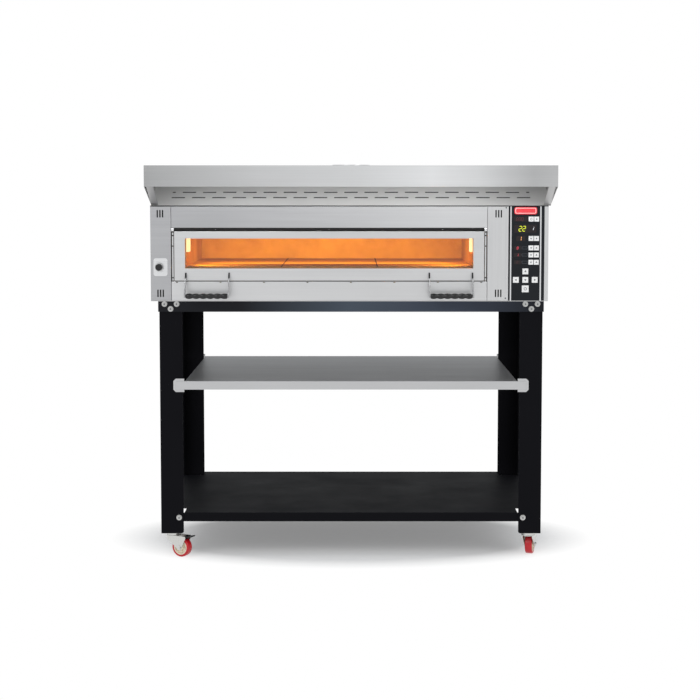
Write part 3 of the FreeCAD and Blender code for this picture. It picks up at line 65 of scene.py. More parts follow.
class Paint:
    """A material being built: its Principled shader and short ways to add nodes."""

    def __init__(self, name):
        self.material = bpy.data.materials.new(name)
        self.material.use_nodes = True
        tree = self.material.node_tree
        self.nodes = tree.nodes
        self.links = tree.links
        self.shader = self.nodes["Principled BSDF"]
        self.place = self.nodes.new("ShaderNodeTexCoord").outputs["Object"]

    def set(self, **sockets):
        for name, value in sockets.items():
            self.shader.inputs[name.replace("_", " ")].default_value = value
        return self

    def stretched(self, scale):
        """The object's own coordinates, scaled differently along each axis."""
        mapping = self.nodes.new("ShaderNodeMapping")
        mapping.inputs["Scale"].default_value = scale
        self.links.new(self.place, mapping.inputs["Vector"])
        return mapping.outputs["Vector"]

    def noise(self, scale, detail=3, rough=0.55, stretch=(1, 1, 1)):
        texture = self.nodes.new("ShaderNodeTexNoise")
        texture.inputs["Scale"].default_value = scale
        texture.inputs["Detail"].default_value = detail
        texture.inputs["Roughness"].default_value = rough
        self.links.new(self.stretched(stretch), texture.inputs["Vector"])
        return texture.outputs["Fac"]

    def ramp(self, factor, stops):
        ramp = self.nodes.new("ShaderNodeValToRGB")
        for stop, (place, colour) in enumerate(stops):
            if stop < 2:
                element = ramp.color_ramp.elements[stop]
                element.position = place
            else:
                element = ramp.color_ramp.elements.new(place)
            element.color = colour
        self.links.new(factor, ramp.inputs["Fac"])
        return ramp.outputs["Color"]

    def axis(self, name):
        """One coordinate of the object's own space, in metres."""
        split = self.nodes.new("ShaderNodeSeparateXYZ")
        self.links.new(self.place, split.inputs["Vector"])
        return split.outputs[name]

    def step(self, value, low, high):
        """0 below the low value, 1 above the high one, and even between."""
        spread = self.nodes.new("ShaderNodeMapRange")
        spread.inputs["From Min"].default_value = low
        spread.inputs["From Max"].default_value = high
        self.links.new(value, spread.inputs["Value"])
        return spread.outputs["Result"]

    def mixed(self, factor, low, high, blend="MIX"):
        """Two colour outputs mixed by a factor output or a number."""
        mix = self.nodes.new("ShaderNodeMix")
        mix.data_type = "RGBA"
        mix.blend_type = blend
        for name, value in ((0, factor), (6, low), (7, high)):
            if isinstance(value, (float, int, tuple)):
                mix.inputs[name].default_value = value
            else:
                self.links.new(value, mix.inputs[name])
        return mix.outputs[2]

    def average(self, first, second, share):
        """Two textures as one factor, with the second's share of it."""
        mixed = self.nodes.new("ShaderNodeMix")
        mixed.data_type = "FLOAT"
        mixed.inputs["Factor"].default_value = share
        self.links.new(first, mixed.inputs["A"])
        self.links.new(second, mixed.inputs["B"])
        return mixed.outputs["Result"]

    def facing_up(self):
        """1 where the surface looks up or down, 0 on its sides."""
        geometry = self.nodes.new("ShaderNodeNewGeometry")
        split = self.nodes.new("ShaderNodeSeparateXYZ")
        self.links.new(geometry.outputs["Normal"], split.inputs["Vector"])
        size = self.nodes.new("ShaderNodeMath")
        size.operation = "ABSOLUTE"
        self.links.new(split.outputs["Z"], size.inputs[0])
        return self.step(size.outputs[0], 0.6, 0.8)

    def between(self, factor, low, high):
        """The factor's middle range spread over low to high."""
        spread = self.nodes.new("ShaderNodeMapRange")
        spread.inputs["From Min"].default_value = 0.3
        spread.inputs["From Max"].default_value = 0.7
        spread.inputs["To Min"].default_value = low
        spread.inputs["To Max"].default_value = high
        self.links.new(factor, spread.inputs["Value"])
        return spread.outputs["Result"]

    def colour(self, output):
        self.links.new(output, self.shader.inputs["Base Color"])

    def rough(self, output):
        self.links.new(output, self.shader.inputs["Roughness"])

    def bump(self, height, distance):
        """Uses a texture as surface relief, its full height given in metres."""
        bump = self.nodes.new("ShaderNodeBump")
        bump.inputs["Distance"].default_value = distance
        bump.inputs["Strength"].default_value = 1
        self.links.new(height, bump.inputs["Height"])
        self.links.new(bump.outputs["Normal"], self.shader.inputs["Normal"])


def shade(colour, factor):
    """A colour made lighter or darker."""
    return (colour[0] * factor, colour[1] * factor, colour[2] * factor, 1)


def around(base, contrast):
    """A ramp's two stops, a little darker and a little lighter than a colour."""
    return [(0.3, shade(base, 1 - contrast)), (0.7, shade(base, 1 + contrast))]


def grey(level):
    """A colour with no hue, in linear terms."""
    return (level, level, level, 1)


def brushed(name, base, rough, along="X", depth=0.00002, contrast=0.05, metal=1.0, light_and_tone=None):
    """Brushed sheet steel: fine streaks along one axis over a slow cloudiness."""
    stretch = {"X": (2, 420, 420), "Y": (420, 2, 420), "Z": (420, 420, 2)}[along]
    paint = Paint(name).set(Metallic=metal)
    streaks = paint.noise(1, 2, 0.6, stretch)
    clouds = paint.noise(2.2, 3, 0.5)
    steel = paint.ramp(paint.average(streaks, clouds, 0.5), around(base, contrast))
    # When given, the last step lays painted light and shade over the steel; for the arms it lays their own dark
    # foot instead.
    paint.colour(light_and_tone(paint, steel) if light_and_tone else steel)
    paint.rough(paint.between(streaks, rough - 0.05, rough + 0.07))
    paint.bump(streaks, depth)
    return paint.material


def sheen_along_hood(paint, steel):
    """Painted light and shade along the hood: a slow change of brightness from the left to the right."""
    spot = paint.step(paint.axis("X"), -0.78, 0.78)
    painted_light_levels = ((0.0, 0.48), (0.28, 0.75), (0.52, 0.85), (0.62, 0.93), (0.69, 1.0), (0.8, 0.88), (0.93, 0.6),
             (1.0, 0.64))
    slow = paint.ramp(spot, [(place, grey(level)) for place, level in painted_light_levels])
    return paint.mixed(1.0, steel, slow, "MULTIPLY")


def sheen_along_front(paint, steel):
    """The fronts at the left are painted darker, as if in shade, and grow lighter towards the right."""
    spot = paint.step(paint.axis("X"), -0.76, 0.55)
    shaded = (0.72, 0.72, 0.73, 1)
    slow = paint.ramp(spot, [(0.0, shaded), (0.2, shaded), (0.85, grey(1.04))])
    return paint.mixed(1.0, steel, slow, "MULTIPLY")


def painted_shade_on_top(paint, steel):
    """Painted shade: a shelf's faces that look up or down are painted far darker than its folded lip, like the
    dark reflection of the oven above on its tread.
    """
    return paint.mixed(paint.facing_up(), steel, (0.16, 0.16, 0.163, 1))


def dark_at_foot(paint, steel):
    """The arm's blackened foot, above the bare strip that carries the grip."""
    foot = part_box("handle_arms")[1].z - 0.021
    return paint.mixed(paint.step(paint.axis("Z"), foot, foot + 0.001), steel, (0.012, 0.012, 0.013, 1))


def sheen_along_rail(paint, black):
    """The front rail's middle is painted with a cool light."""
    spot = paint.step(paint.axis("X"), -0.73, 0.73)
    slow = paint.ramp(spot, [(0.0, grey(0)), (0.22, grey(0)), (0.5, tone(58, 66, 76)),
                             (0.78, tone(44, 50, 62)), (1.0, grey(0))])
    return paint.mixed(1.0, black, slow, "ADD")


def powder(name, base, rough=0.4, grain=900, depth=0.00003, contrast=0.05, gloss=0.2, light_and_tone=None):
    """Powder-coated steel: a fine orange peel and faint unevenness of colour."""
    paint = Paint(name).set(Specular_IOR_Level=gloss)
    peel = paint.noise(grain, 2, 0.5)
    clouds = paint.noise(5, 4, 0.6)
    coat = paint.ramp(clouds, around(base, contrast))
    # When given, the last step lays painted light over the coat.
    paint.colour(light_and_tone(paint, coat) if light_and_tone else coat)
    paint.rough(paint.between(clouds, rough - 0.04, rough + 0.06))
    paint.bump(peel, depth)
    return paint.material


def moulded(name, base, rough=0.45, grain=700, depth=0.00004, contrast=0.08):
    """Moulded plastic or rubber with a fine spark-eroded grain."""
    paint = Paint(name)
    paint.set(Specular_IOR_Level=0.45)
    grains = paint.noise(grain, 3, 0.6)
    clouds = paint.noise(18, 2, 0.5)
    paint.colour(paint.ramp(clouds, around(base, contrast)))
    paint.rough(paint.between(grains, rough - 0.05, rough + 0.05))
    paint.bump(grains, depth)
    return paint.material


def glowing(name, base, strength, spread=0.1):
    """A lit surface, a little uneven across itself."""
    paint = Paint(name)
    clouds = paint.noise(40, 2, 0.5)
    lit = paint.ramp(clouds, [(0.3, shade(base, 1 - spread)), (0.7, base)])
    paint.colour(lit)
    paint.links.new(lit, paint.shader.inputs["Emission Color"])
    paint.set(Emission_Strength=strength, Roughness=0.35)
    return paint.material


def clear_glass(name):
    """Toughened window glass, slightly amber: the tint is painted lamp light that warms the chamber seen through
    it.
    """
    paint = Paint(name).set(Transmission_Weight=1.0, IOR=1.45, Specular_IOR_Level=0.12)
    haze = paint.noise(3, 3, 0.5)
    paint.rough(paint.between(haze, 0.0, 0.03))
    paint.colour(paint.ramp(haze, [(0.2, (0.98, 0.95, 0.78, 1)), (0.8, (1, 0.97, 0.84, 1))]))
    return paint.material


def fired_stone(name, dark=tone(172, 122, 66), light=tone(205, 156, 92)):
    """Pale baking stone, its own colour warmed towards orange as painted lamp light, darker in its pores and where
    it has browned.
    """
    paint = Paint(name)
    pores = paint.noise(220, 5, 0.7)
    brown = paint.noise(5, 4, 0.6)
    paint.colour(paint.ramp(paint.average(pores, brown, 0.6), [(0.3, dark), (0.7, light)]))
    paint.rough(paint.between(pores, 0.75, 0.95))
    paint.bump(pores, 0.0004)
    return paint.material


def lamp_lit_steel(name):
    """The chamber's inside: dull steel, painted straw and brown as the warm lamp light falling on it, unevenly."""
    paint = Paint(name).set(Metallic=0.35)
    stains = paint.noise(6, 5, 0.65)
    fine = paint.noise(160, 3, 0.6)
    paint.colour(paint.ramp(stains, [(0.28, tone(200, 146, 74)), (0.72, tone(236, 190, 110))]))
    paint.rough(paint.between(fine, 0.45, 0.6))
    paint.bump(fine, 0.0001)
    return paint.material


def wool(name):
    """Mineral-wool insulation, matt and fibrous."""
    paint = Paint(name)
    fibres = paint.noise(120, 6, 0.8, (1, 1, 3))
    paint.colour(paint.ramp(fibres, [(0.3, tone(150, 140, 105)), (0.7, tone(205, 195, 155))]))
    paint.set(Roughness=0.95)
    paint.bump(fibres, 0.002)
    return paint.material


LOOKS = {
    "stainless": brushed("stainless", (0.63, 0.63, 0.632, 1), 0.34),
    "stainless_upright": brushed("stainless_upright", (0.62, 0.62, 0.622, 1), 0.34, "Z"),
    "front_steel": brushed("front_steel", (0.62, 0.62, 0.625, 1), 0.34, light_and_tone=sheen_along_front),
    "hood_steel": brushed("hood_steel", (0.8, 0.8, 0.8, 1), 0.33, light_and_tone=sheen_along_hood),
    "baffle_steel": brushed("baffle_steel", (0.55, 0.55, 0.545, 1), 0.5, metal=0.35),
    "plate_steel": brushed("plate_steel", (0.74, 0.74, 0.745, 1), 0.3),
    "liner_steel": lamp_lit_steel("liner_steel"),
    "black_paint": powder("black_paint", tone(18, 18, 21), 0.55, gloss=0.02),
    "rail_black": powder("rail_black", tone(24, 25, 29), 0.45, gloss=0.1, light_and_tone=sheen_along_rail),
    "shelf_steel": brushed("shelf_steel", (0.5, 0.5, 0.505, 1), 0.4, metal=0.6, light_and_tone=painted_shade_on_top),
    "bolt_zinc": brushed("bolt_zinc", (0.5, 0.5, 0.49, 1), 0.3),
    "caster_zinc": brushed("caster_zinc", (0.62, 0.62, 0.6, 1), 0.28, "Z"),
    "pedal_steel": powder("pedal_steel", tone(38, 38, 40), 0.4),
    "arm_steel": brushed("arm_steel", (0.36, 0.36, 0.365, 1), 0.35, "Z", light_and_tone=dark_at_foot),
    "grip_black": moulded("grip_black", tone(14, 14, 15), 0.26),
    "hinge_black": powder("hinge_black", tone(24, 23, 22), 0.3),
    "knob_black": moulded("knob_black", tone(18, 18, 19), 0.3),
    "gland_black": moulded("gland_black", tone(28, 28, 29), 0.5),
    "window_glass": clear_glass("window_glass"),
    "stone": fired_stone("stone"),
    "element_steel": brushed("element_steel", (0.2, 0.17, 0.15, 1), 0.45, "Y"),
    "lamp_glass": glowing("lamp_glass", tone(255, 236, 190), 1.1),
    "wool": wool("wool"),
    "panel_black": powder("panel_black", tone(18, 21, 26), 0.32, 1400, 0.00001),
    "trim_aluminium": brushed("trim_aluminium", (0.75, 0.75, 0.76, 1), 0.25, "Z"),
    "display": moulded("display", tone(20, 9, 12), 0.12, 200, 0.000002),
    "key_white": moulded("key_white", tone(222, 222, 222), 0.35, 900, 0.00001, 0.03),
    "board": moulded("board", tone(30, 92, 52), 0.45),
    "red_tread": moulded("red_tread", tone(176, 18, 28), 0.33, 500, 0.00004),
    "cream_hub": moulded("cream_hub", tone(226, 216, 196), 0.4, 500, 0.00003),
    "badge_red": moulded("badge_red", tone(222, 58, 66), 0.3, 400, 0.00001),
    "badge_white": moulded("badge_white", tone(238, 225, 225), 0.3, 400, 0.00001),
    "icon_dark": moulded("icon_dark", tone(90, 92, 96), 0.5, 900, 0.00001),
    "icon_faint": moulded("icon_faint", tone(78, 82, 88), 0.5, 900, 0.00001),
    "lit_green": glowing("lit_green", tone(196, 206, 40), 0.9),
    "lit_orange": glowing("lit_orange", tone(235, 160, 100), 0.8),
    "lit_red": glowing("lit_red", tone(205, 60, 80), 0.7),
    "dim_red": glowing("dim_red", tone(66, 14, 24), 0.4),
    "lit_white": glowing("lit_white", tone(200, 205, 210), 0.4),
    "joint_brown": fired_stone("joint_brown", tone(52, 26, 8), tone(78, 40, 14)),
    "hole_black": moulded("hole_black", tone(8, 8, 9), 0.9),
}


def finish_nodes():
    """Gives each CAD node the look of its material slot."""
    for part in frame["record"]["subparts"]:
        node = NODES[part["node"]]
        slot = part["material_slot"]
        look = LOOKS["red_tread" if slot == "wheel_polyurethane" else slot]
        node.data.materials.clear()
        node.data.materials.append(look)
    for name in ("side_panels", "vent_panel"):
        NODES[name].data.materials[0] = LOOKS["stainless_upright"]
    for name in ("upper_front_panel", "left_front_panel"):
        NODES[name].data.materials[0] = LOOKS["front_steel"]
    NODES["hood_baffle"].data.materials[0] = LOOKS["baffle_steel"]
    NODES["stand_rails"].data.materials[0] = LOOKS["rail_black"]


# ---------------------------------------------------------------- mesh helpers


def add_piece(name, mesh, look, body, smooth=True):
    """Puts a finished mesh in the scene, riding on its body."""
    piece = bpy.data.objects.new(name, mesh)
    bpy.context.scene.collection.objects.link(piece)
    mesh.materials.append(LOOKS[look])
    if smooth:
        for face in mesh.polygons:
            face.use_smooth = True
        mesh.set_sharp_from_angle(angle=math.radians(35))
    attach(piece, body)
    return piece


def from_bmesh(name, shape):
    """Turns a bmesh into a mesh whose faces all look outwards."""
    bmesh.ops.recalc_face_normals(shape, faces=shape.faces)
    mesh = bpy.data.meshes.new(name)
    shape.to_mesh(mesh)
    shape.free()
    return mesh


def rounded_block(shape, low, high, radius, segments=2):
    """Adds a box with rounded edges to a bmesh."""
    low, high = Vector(low), Vector(high)
    made = bmesh.ops.create_cube(shape, size=1)["verts"]
    for vertex in made:
        vertex.co = Vector((low[axis] if vertex.co[axis] < 0 else high[axis]) for axis in range(3))
    edges = list({edge for vertex in made for edge in vertex.link_edges})
    if radius > 0:
        bmesh.ops.bevel(shape, geom=edges, offset=radius, segments=segments, affect="EDGES", profile=0.5)


def turn_profile(shape, profile, centre, axis, steps=48):
    """Adds a surface turned about an axis from (radius, along) points. A radius of 0 closes an end."""
    axis = Vector(axis).normalized()
    side = axis.orthogonal().normalized()
    other = axis.cross(side)
    rings = []
    for radius, along in profile:
        middle = Vector(centre) + axis * along
        if radius < 1e-7:
            rings.append([shape.verts.new(middle)])
            continue
        rings.append([shape.verts.new(middle + side * radius * math.cos(math.tau * step / steps)
                                      + other * radius * math.sin(math.tau * step / steps))
                      for step in range(steps)])
    for first, second in zip(rings, rings[1:]):
        join_rings(shape, first, second, steps)


def join_rings(shape, first, second, steps):
    """Faces between two neighbouring rings, either of which may be a single point."""
    for step in range(steps):
        after = (step + 1) % steps
        if len(first) == 1 and len(second) == 1:
            return
        if len(first) == 1:
            shape.faces.new((first[0], second[step], second[after]))
        elif len(second) == 1:
            shape.faces.new((first[step], second[0], first[after]))
        else:
            shape.faces.new((first[step], second[step], second[after], first[after]))


def arc(middle, radius, start, end, steps=5):
    """Points on a quarter or other part of a circle, angles in degrees."""
    return [(middle[0] + radius * math.cos(math.radians(start + (end - start) * step / steps)),
             middle[1] + radius * math.sin(math.radians(start + (end - start) * step / steps)))
            for step in range(steps + 1)]


def polygon(x, z, radius, steps):
    """The corners of a regular polygon round a centre."""
    return [(x + radius * math.cos(math.tau * step / steps), z + radius * math.sin(math.tau * step / steps))
            for step in range(steps)]


# ---------------------------------------------------------------- camera, lights, floor

EYE = Vector((0, -6.676, 1.431))
PITCH = math.radians(4.66)
FOCAL_LENGTH, SENSOR_WIDTH = 85.76, 36
SHIFT = (-0.0014, -0.045)


def make_camera():
    """A long lens level with the hood's underside, tipped down a little towards the floor."""
    data = bpy.data.cameras.new("camera")
    data.sensor_width = SENSOR_WIDTH
    data.lens = FOCAL_LENGTH
    data.shift_x, data.shift_y = SHIFT
    data.clip_start = 0.05
    data.clip_end = 100
    camera = bpy.data.objects.new("camera", data)
    camera.location = EYE
    camera.rotation_euler = (math.pi / 2 - PITCH, 0, 0)
    bpy.context.scene.collection.objects.link(camera)
    bpy.context.scene.camera = camera


def area_light(name, place, aim, size, power, colour=(1, 1, 1)):
    """A soft rectangular lamp turned towards a point."""
    data = bpy.data.lights.new(name, "AREA")
    data.shape = "RECTANGLE"
    data.size, data.size_y = size
    data.energy = power
    data.color = colour
    light = bpy.data.objects.new(name, data)
    light.location = place
    light.rotation_euler = (Vector(aim) - Vector(place)).to_track_quat("-Z", "Y").to_euler()
    bpy.context.scene.collection.objects.link(light)


def make_world():
    """An even white room: bright behind the object, a little greyer where it lights it."""
    world = bpy.data.worlds.new("studio")
    world.use_nodes = True
    nodes, links = world.node_tree.nodes, world.node_tree.links
    nodes.clear()
    output = nodes.new("ShaderNodeOutputWorld")
    seen = nodes.new("ShaderNodeBackground")
    seen.inputs["Color"].default_value = (1, 1, 1, 1)
    seen.inputs["Strength"].default_value = 1.0
    lighting = nodes.new("ShaderNodeBackground")
    lighting.inputs["Color"].default_value = (0.96, 0.98, 1, 1)
    lighting.inputs["Strength"].default_value = 0.8
    path = nodes.new("ShaderNodeLightPath")
    mix = nodes.new("ShaderNodeMixShader")
    links.new(path.outputs["Is Camera Ray"], mix.inputs["Fac"])
    links.new(lighting.outputs["Background"], mix.inputs[1])
    links.new(seen.outputs["Background"], mix.inputs[2])
    links.new(mix.outputs["Shader"], output.inputs["Surface"])
    bpy.context.scene.world = world


def make_floor():
    """A matt white floor that fades into the background away from the object; near the object, painted light
    lightens its shadow and sets where the shadow fades.
    """
    shape = bmesh.new()
    bmesh.ops.create_circle(shape, cap_ends=True, radius=14, segments=96)
    floor = bpy.data.objects.new("floor", from_bmesh("floor", shape))
    paint = Paint("floor")
    grain = paint.noise(30, 3, 0.5)
    paint.colour(paint.ramp(grain, [(0.3, (0.9, 0.9, 0.9, 1)), (0.7, (0.93, 0.93, 0.93, 1))]))
    paint.set(Roughness=0.85, Specular_IOR_Level=0.1)
    squashed = paint.nodes.new("ShaderNodeVectorMath")
    squashed.operation = "MULTIPLY"
    squashed.inputs[1].default_value = (1, 1.7, 1)
    paint.links.new(paint.place, squashed.inputs[0])
    reach = paint.nodes.new("ShaderNodeVectorMath")
    reach.operation = "LENGTH"
    paint.links.new(squashed.outputs["Vector"], reach.inputs[0])
    bright = paint.nodes.new("ShaderNodeEmission")
    blend = paint.nodes.new("ShaderNodeMixShader")
    # Painted light: an oval round the object sets where the floor turns to glow, and even under the object 0.22 of
    # the glow remains, lightening the real shadow there.
    away = paint.step(reach.outputs["Value"], 0.55, 1.15)
    paint.links.new(paint.between(away, 0.22, 1), blend.inputs["Fac"])
    paint.links.new(paint.shader.outputs["BSDF"], blend.inputs[1])
    paint.links.new(bright.outputs["Emission"], blend.inputs[2])
    paint.links.new(blend.outputs["Shader"], paint.nodes["Material Output"].inputs["Surface"])
    floor.data.materials.append(paint.material)
    bpy.context.scene.collection.objects.link(floor)


def make_studio():
    """White surroundings, three large soft lights, and a thin strip of light on the hood's front."""
    make_world()
    make_floor()
    area_light("key", (-2.6, -4.4, 3.6), (0, 0, 0.9), (2.6, 2.2), 60)
    area_light("fill", (3.2, -3.8, 2.4), (0, 0, 0.8), (2.2, 2.4), 30)
    area_light("top", (0, 0.6, 4.2), (0, 0, 1.0), (3.2, 3.2), 24)
    hood_low, hood_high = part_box("hood_shell")
    area_light("hood", (0, hood_low.y + 0.012, hood_high.z - 0.035), (0, -0.3, 1.38), (1.4, 0.03), 1.6)
    scene = bpy.context.scene
    scene.view_settings.view_transform = "Standard"
    scene.view_settings.look = "None"


# ---------------------------------------------------------------- the glow in the chamber


def chamber_glow():
    """Warm lamps behind the two windows in the chamber's side walls."""
    low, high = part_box("chamber_lamps")
    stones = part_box("baking_stones")
    middle_z = (low.z + high.z) / 2
    for sign, x in ((1, low.x + 0.03), (-1, high.x - 0.03)):
        area_light(f"chamber_lamp_{sign}", (x, (low.y + high.y) / 2, middle_z),
                   (x + sign * 0.5, high.y + 0.25, stones[1].z), (0.05, 0.04), 0.6, (1, 0.58, 0.04))
    centre = (stones[0] + stones[1]) / 2
    area_light("chamber_ceiling", (centre.x, centre.y - 0.05, high.z + 0.012),
               (centre.x, centre.y + 0.15, 1.1), (0.95, 0.3), 3.7, (1, 0.56, 0.02))
    shape = bmesh.new()
    top = stones[1].z
    for near, far in sorted(islands("baking_stones"), key=lambda box: box[0].x)[1:]:
        rounded_block(shape, (near.x - 0.0038, near.y, top - 0.001),
                      (near.x + 0.0018, far.y, top + 0.0003), 0)
    add_piece("stone_joints", from_bmesh("stone_joints", shape), "joint_brown", "root", smooth=False)


# ---------------------------------------------------------------- door handles


def wavy_grip(name, centre, length, radius):
    """A black moulded grip with finger lobes and rounded ends."""
    lobes = 6
    wave = 0.3
    blunt = 0.36
    profile = [(0, -length / 2)]
    steps = 84
    end = radius * 0.35
    for step in range(steps + 1):
        along = -length / 2 + length * step / steps
        edge = min(1, (length / 2 - abs(along)) / end)
        full = radius * (1 - wave + wave * abs(math.sin(math.pi * lobes * (step / steps))))
        profile.append((full * math.sqrt(max(blunt, 1 - (1 - edge) ** 2)), along))
    profile.append((0, length / 2))
    shape = bmesh.new()
    turn_profile(shape, profile, centre, (1, 0, 0), 40)
    return add_piece(name, from_bmesh(name, shape), "grip_black", "door")


GRIP_LENGTH = 0.1594


def make_grips():
    """The two grips, one at each end of the CAD's pair."""
    low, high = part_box("handle_grips")
    radius = (high.z - low.z) / 2
    y = (low.y + high.y) / 2
    z = (low.z + high.z) / 2
    left = wavy_grip("grip_left", (low.x + GRIP_LENGTH / 2, y, z), GRIP_LENGTH, radius)
    wavy_grip("grip_right", (high.x - GRIP_LENGTH / 2, y, z), GRIP_LENGTH, radius)
    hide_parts("handle_grips")


# ---------------------------------------------------------------- caster wheels


def make_wheels():
    """A moulded hub with a recessed web and spokes, a crowned tread, and a boss at the axle."""
    for name, joint in JOINTS.items():
        if not name.startswith("roll_"):
            continue
        corner = name[len("roll_"):]
        body = joint["child"]
        centre = Vector(joint["pos_m"])
        axis = Vector(joint["axis"])
        radius = centre.z
        tread_in, tread_half, hub_half, shoulder = radius * 0.775, 0.0138, 0.0168, 0.004
        shape = bmesh.new()
        crown = [(tread_in, -tread_half)]
        crown += arc((radius - shoulder, -tread_half + shoulder), shoulder, -90, -8) + [(radius, 0)]
        crown += arc((radius - shoulder, tread_half - shoulder), shoulder, 8, 90) + [(tread_in, tread_half)]
        turn_profile(shape, crown, centre, axis, 72)
        turn_profile(shape, [(tread_in, -tread_half), (tread_in, tread_half)], centre, axis, 72)
        bmesh.ops.remove_doubles(shape, verts=shape.verts, dist=1e-6)
        tread = add_piece(f"tread_{corner}", from_bmesh("tread", shape), "red_tread", body)
        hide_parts(f"caster_wheel_{corner}")

        shape = bmesh.new()
        rim, web = tread_in - 0.0002, 0.0045
        half = tread_half - 0.0006
        profile = [(0.0042, -hub_half), (0.0095, -hub_half), (0.0105, -hub_half + 0.001), (0.0115, -web),
                   (rim - 0.0042, -web), (rim - 0.003, -half + 0.0006), (rim - 0.0024, -half), (rim, -half),
                   (rim, half), (rim - 0.0024, half), (rim - 0.003, half - 0.0006), (rim - 0.0042, web),
                   (0.0115, web), (0.0105, hub_half - 0.001), (0.0095, hub_half), (0.0042, hub_half),
                   (0.0042, -hub_half)]
        turn_profile(shape, profile, centre, axis, 72)
        bmesh.ops.remove_doubles(shape, verts=shape.verts, dist=1e-6)
        add_piece(f"hub_{corner}", from_bmesh("hub", shape), "cream_hub", body)

        shape = bmesh.new()
        side = axis.orthogonal().normalized()
        for spoke in range(6):
            turn = Matrix.Rotation(math.tau * spoke / 6, 3, axis)
            direction = turn @ side
            for face in (-1, 1):
                made = bmesh.ops.create_cube(shape, size=1)["verts"]
                across = axis.cross(direction)
                for vertex in made:
                    x, y, z = vertex.co
                    vertex.co = (centre + direction * (0.0165 + x * 0.0125) + across * y * 0.0028
                                 + axis * (face * (web + 0.003) + z * 0.006))
        bmesh.ops.bevel(shape, geom=list(shape.edges), offset=0.0006, segments=2, affect="EDGES", profile=0.5)
        add_piece(f"spokes_{corner}", from_bmesh("spokes", shape), "cream_hub", body)


# ---------------------------------------------------------------- control panel


SEGMENTS = {"1": "bc", "2": "abged", "0": "abcdef", "8": "abcdefg"}


def digit(shape, figure, x, z, height, y):
    """One seven-segment figure, its lower left corner at x, z."""
    width = height * 0.52
    bar = height * 0.11
    half = height / 2
    places = {"a": ((0, height), (width, height)), "b": ((width, half), (width, height)),
              "c": ((width, 0), (width, half)), "d": ((0, 0), (width, 0)), "e": ((0, 0), (0, half)),
              "f": ((0, half), (0, height)), "g": ((0, half), (width, half))}
    lean = 0.12
    for segment in SEGMENTS[figure]:
        (x0, z0), (x1, z1) = places[segment]
        trim = bar * 0.62
        if z0 == z1:
            x0, x1 = x0 + trim, x1 - trim
            rounded = [(x0, z0 - bar / 2), (x1, z0 - bar / 2), (x1 + bar / 2, z0), (x1, z0 + bar / 2),
                       (x0, z0 + bar / 2), (x0 - bar / 2, z0)]
        else:
            z0, z1 = z0 + trim, z1 - trim
            rounded = [(x0 - bar / 2, z0), (x0, z0 - bar / 2), (x0 + bar / 2, z0), (x0 + bar / 2, z1),
                       (x0, z1 + bar / 2), (x0 - bar / 2, z1)]
        slab(shape, [(x + across + up * lean, z + up) for across, up in rounded], y)


def figures(name, text, x, z, height, look):
    """A row of lit figures on the glass of a display."""
    shape = bmesh.new()
    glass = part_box("display_windows")[0].y
    for place, figure in enumerate(text):
        digit(shape, figure, x + place * height * 0.76, z, height, glass - 0.0004)
    add_piece(name, from_bmesh(name, shape), look, "root", smooth=False)


# Each row of figures: name, text, place right of the panel's left edge and above the tray's foot,
# height, look.
FIGURES = (
    ("clock_figures", "22", 0.0375, 0.2645, 0.0185, "lit_green"),
    ("program_figure", "1", 0.0385, 0.2295, 0.0145, "lit_orange"),
    ("top_heat_figure", "8", 0.0305, 0.1965, 0.0095, "lit_red"),
    ("bottom_heat_figure", "1", 0.0305, 0.1705, 0.009, "lit_red"),
    ("timer_figure", "0", 0.0305, 0.1435, 0.0085, "dim_red"),
    ("status_figures", "888", 0.028, 0.3035, 0.0125, "dim_red"),
)

# The plain badge's three layers: name, width, height, corner radius, how far it stands out, look.
BADGE = (
    ("badge", 0.085, 0.027, 0.007, 0.0006, "badge_red"),
    ("badge_border", 0.078, 0.0205, 0.005, 0.0008, "badge_white"),
    ("badge_field", 0.0745, 0.017, 0.0038, 0.001, "badge_red"),
)


def make_panel_details():
    """What the control panel shows: its lit figures, the plain badge, and the small printed signs."""
    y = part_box("control_panel")[0].y
    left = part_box("control_panel")[0].x
    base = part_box("base_tray")[0].z
    for name, text, across, up, height, look in FIGURES:
        figures(name, text, left + across, base + up, height, look)

    centre_x, centre_z = left + 0.063, base + 0.3415
    for name, wide, tall, round_by, proud, look in BADGE:
        shape = bmesh.new()
        slab(shape, rounded_outline(centre_x, centre_z, wide, tall, round_by), y - proud, proud - 0.0001)
        add_piece(name, from_bmesh(name, shape), look, "root", smooth=False)
    shape = bmesh.new()
    for z in (0.2015, 0.175, 0.1475):
        frame_slab(shape, left + 0.0605, base + z, 0.021, 0.0095, 0.0008, y - 0.0003)
    add_piece("label_frames", from_bmesh("label_frames", shape), "icon_faint", "root",
              smooth=False)
    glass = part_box("display_windows")[0].y
    shape = bmesh.new()
    slab(shape, [(left + 0.0905, base + 0.2685), (left + 0.0925, base + 0.2685),
                 (left + 0.0945, base + 0.2765), (left + 0.0925, base + 0.2765)], glass - 0.0004)
    slab(shape, rounded_outline(left + 0.0942, base + 0.2795, 0.0024, 0.0024, 0.001), glass - 0.0004)
    add_piece("clock_icon", from_bmesh("clock_icon", shape), "lit_white", "root", smooth=False)


def key_icons():
    """A small moulded sign on each key: a triangle, a ring or a dot."""
    signs = {"up": "up", "down": "down", "left": "left", "right": "right", "lamp": "ring", "fan": "dot",
             "power": "ring"}
    for node in NODES:
        if not node.endswith("_key"):
            continue
        low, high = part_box(node)
        centre = (low + high) / 2
        half = (high.x - low.x) / 2
        words = node.split("_")
        sign = next((signs[word] for word in reversed(words[:-1]) if word in signs), "dot")
        shape = bmesh.new()
        y = low.y - 0.00025
        size = half * 0.42
        draw_sign(shape, sign, centre.x, centre.z, size, y)
        name = f"{node}_sign"
        add_piece(name, from_bmesh(name, shape), "icon_dark", node, smooth=False)


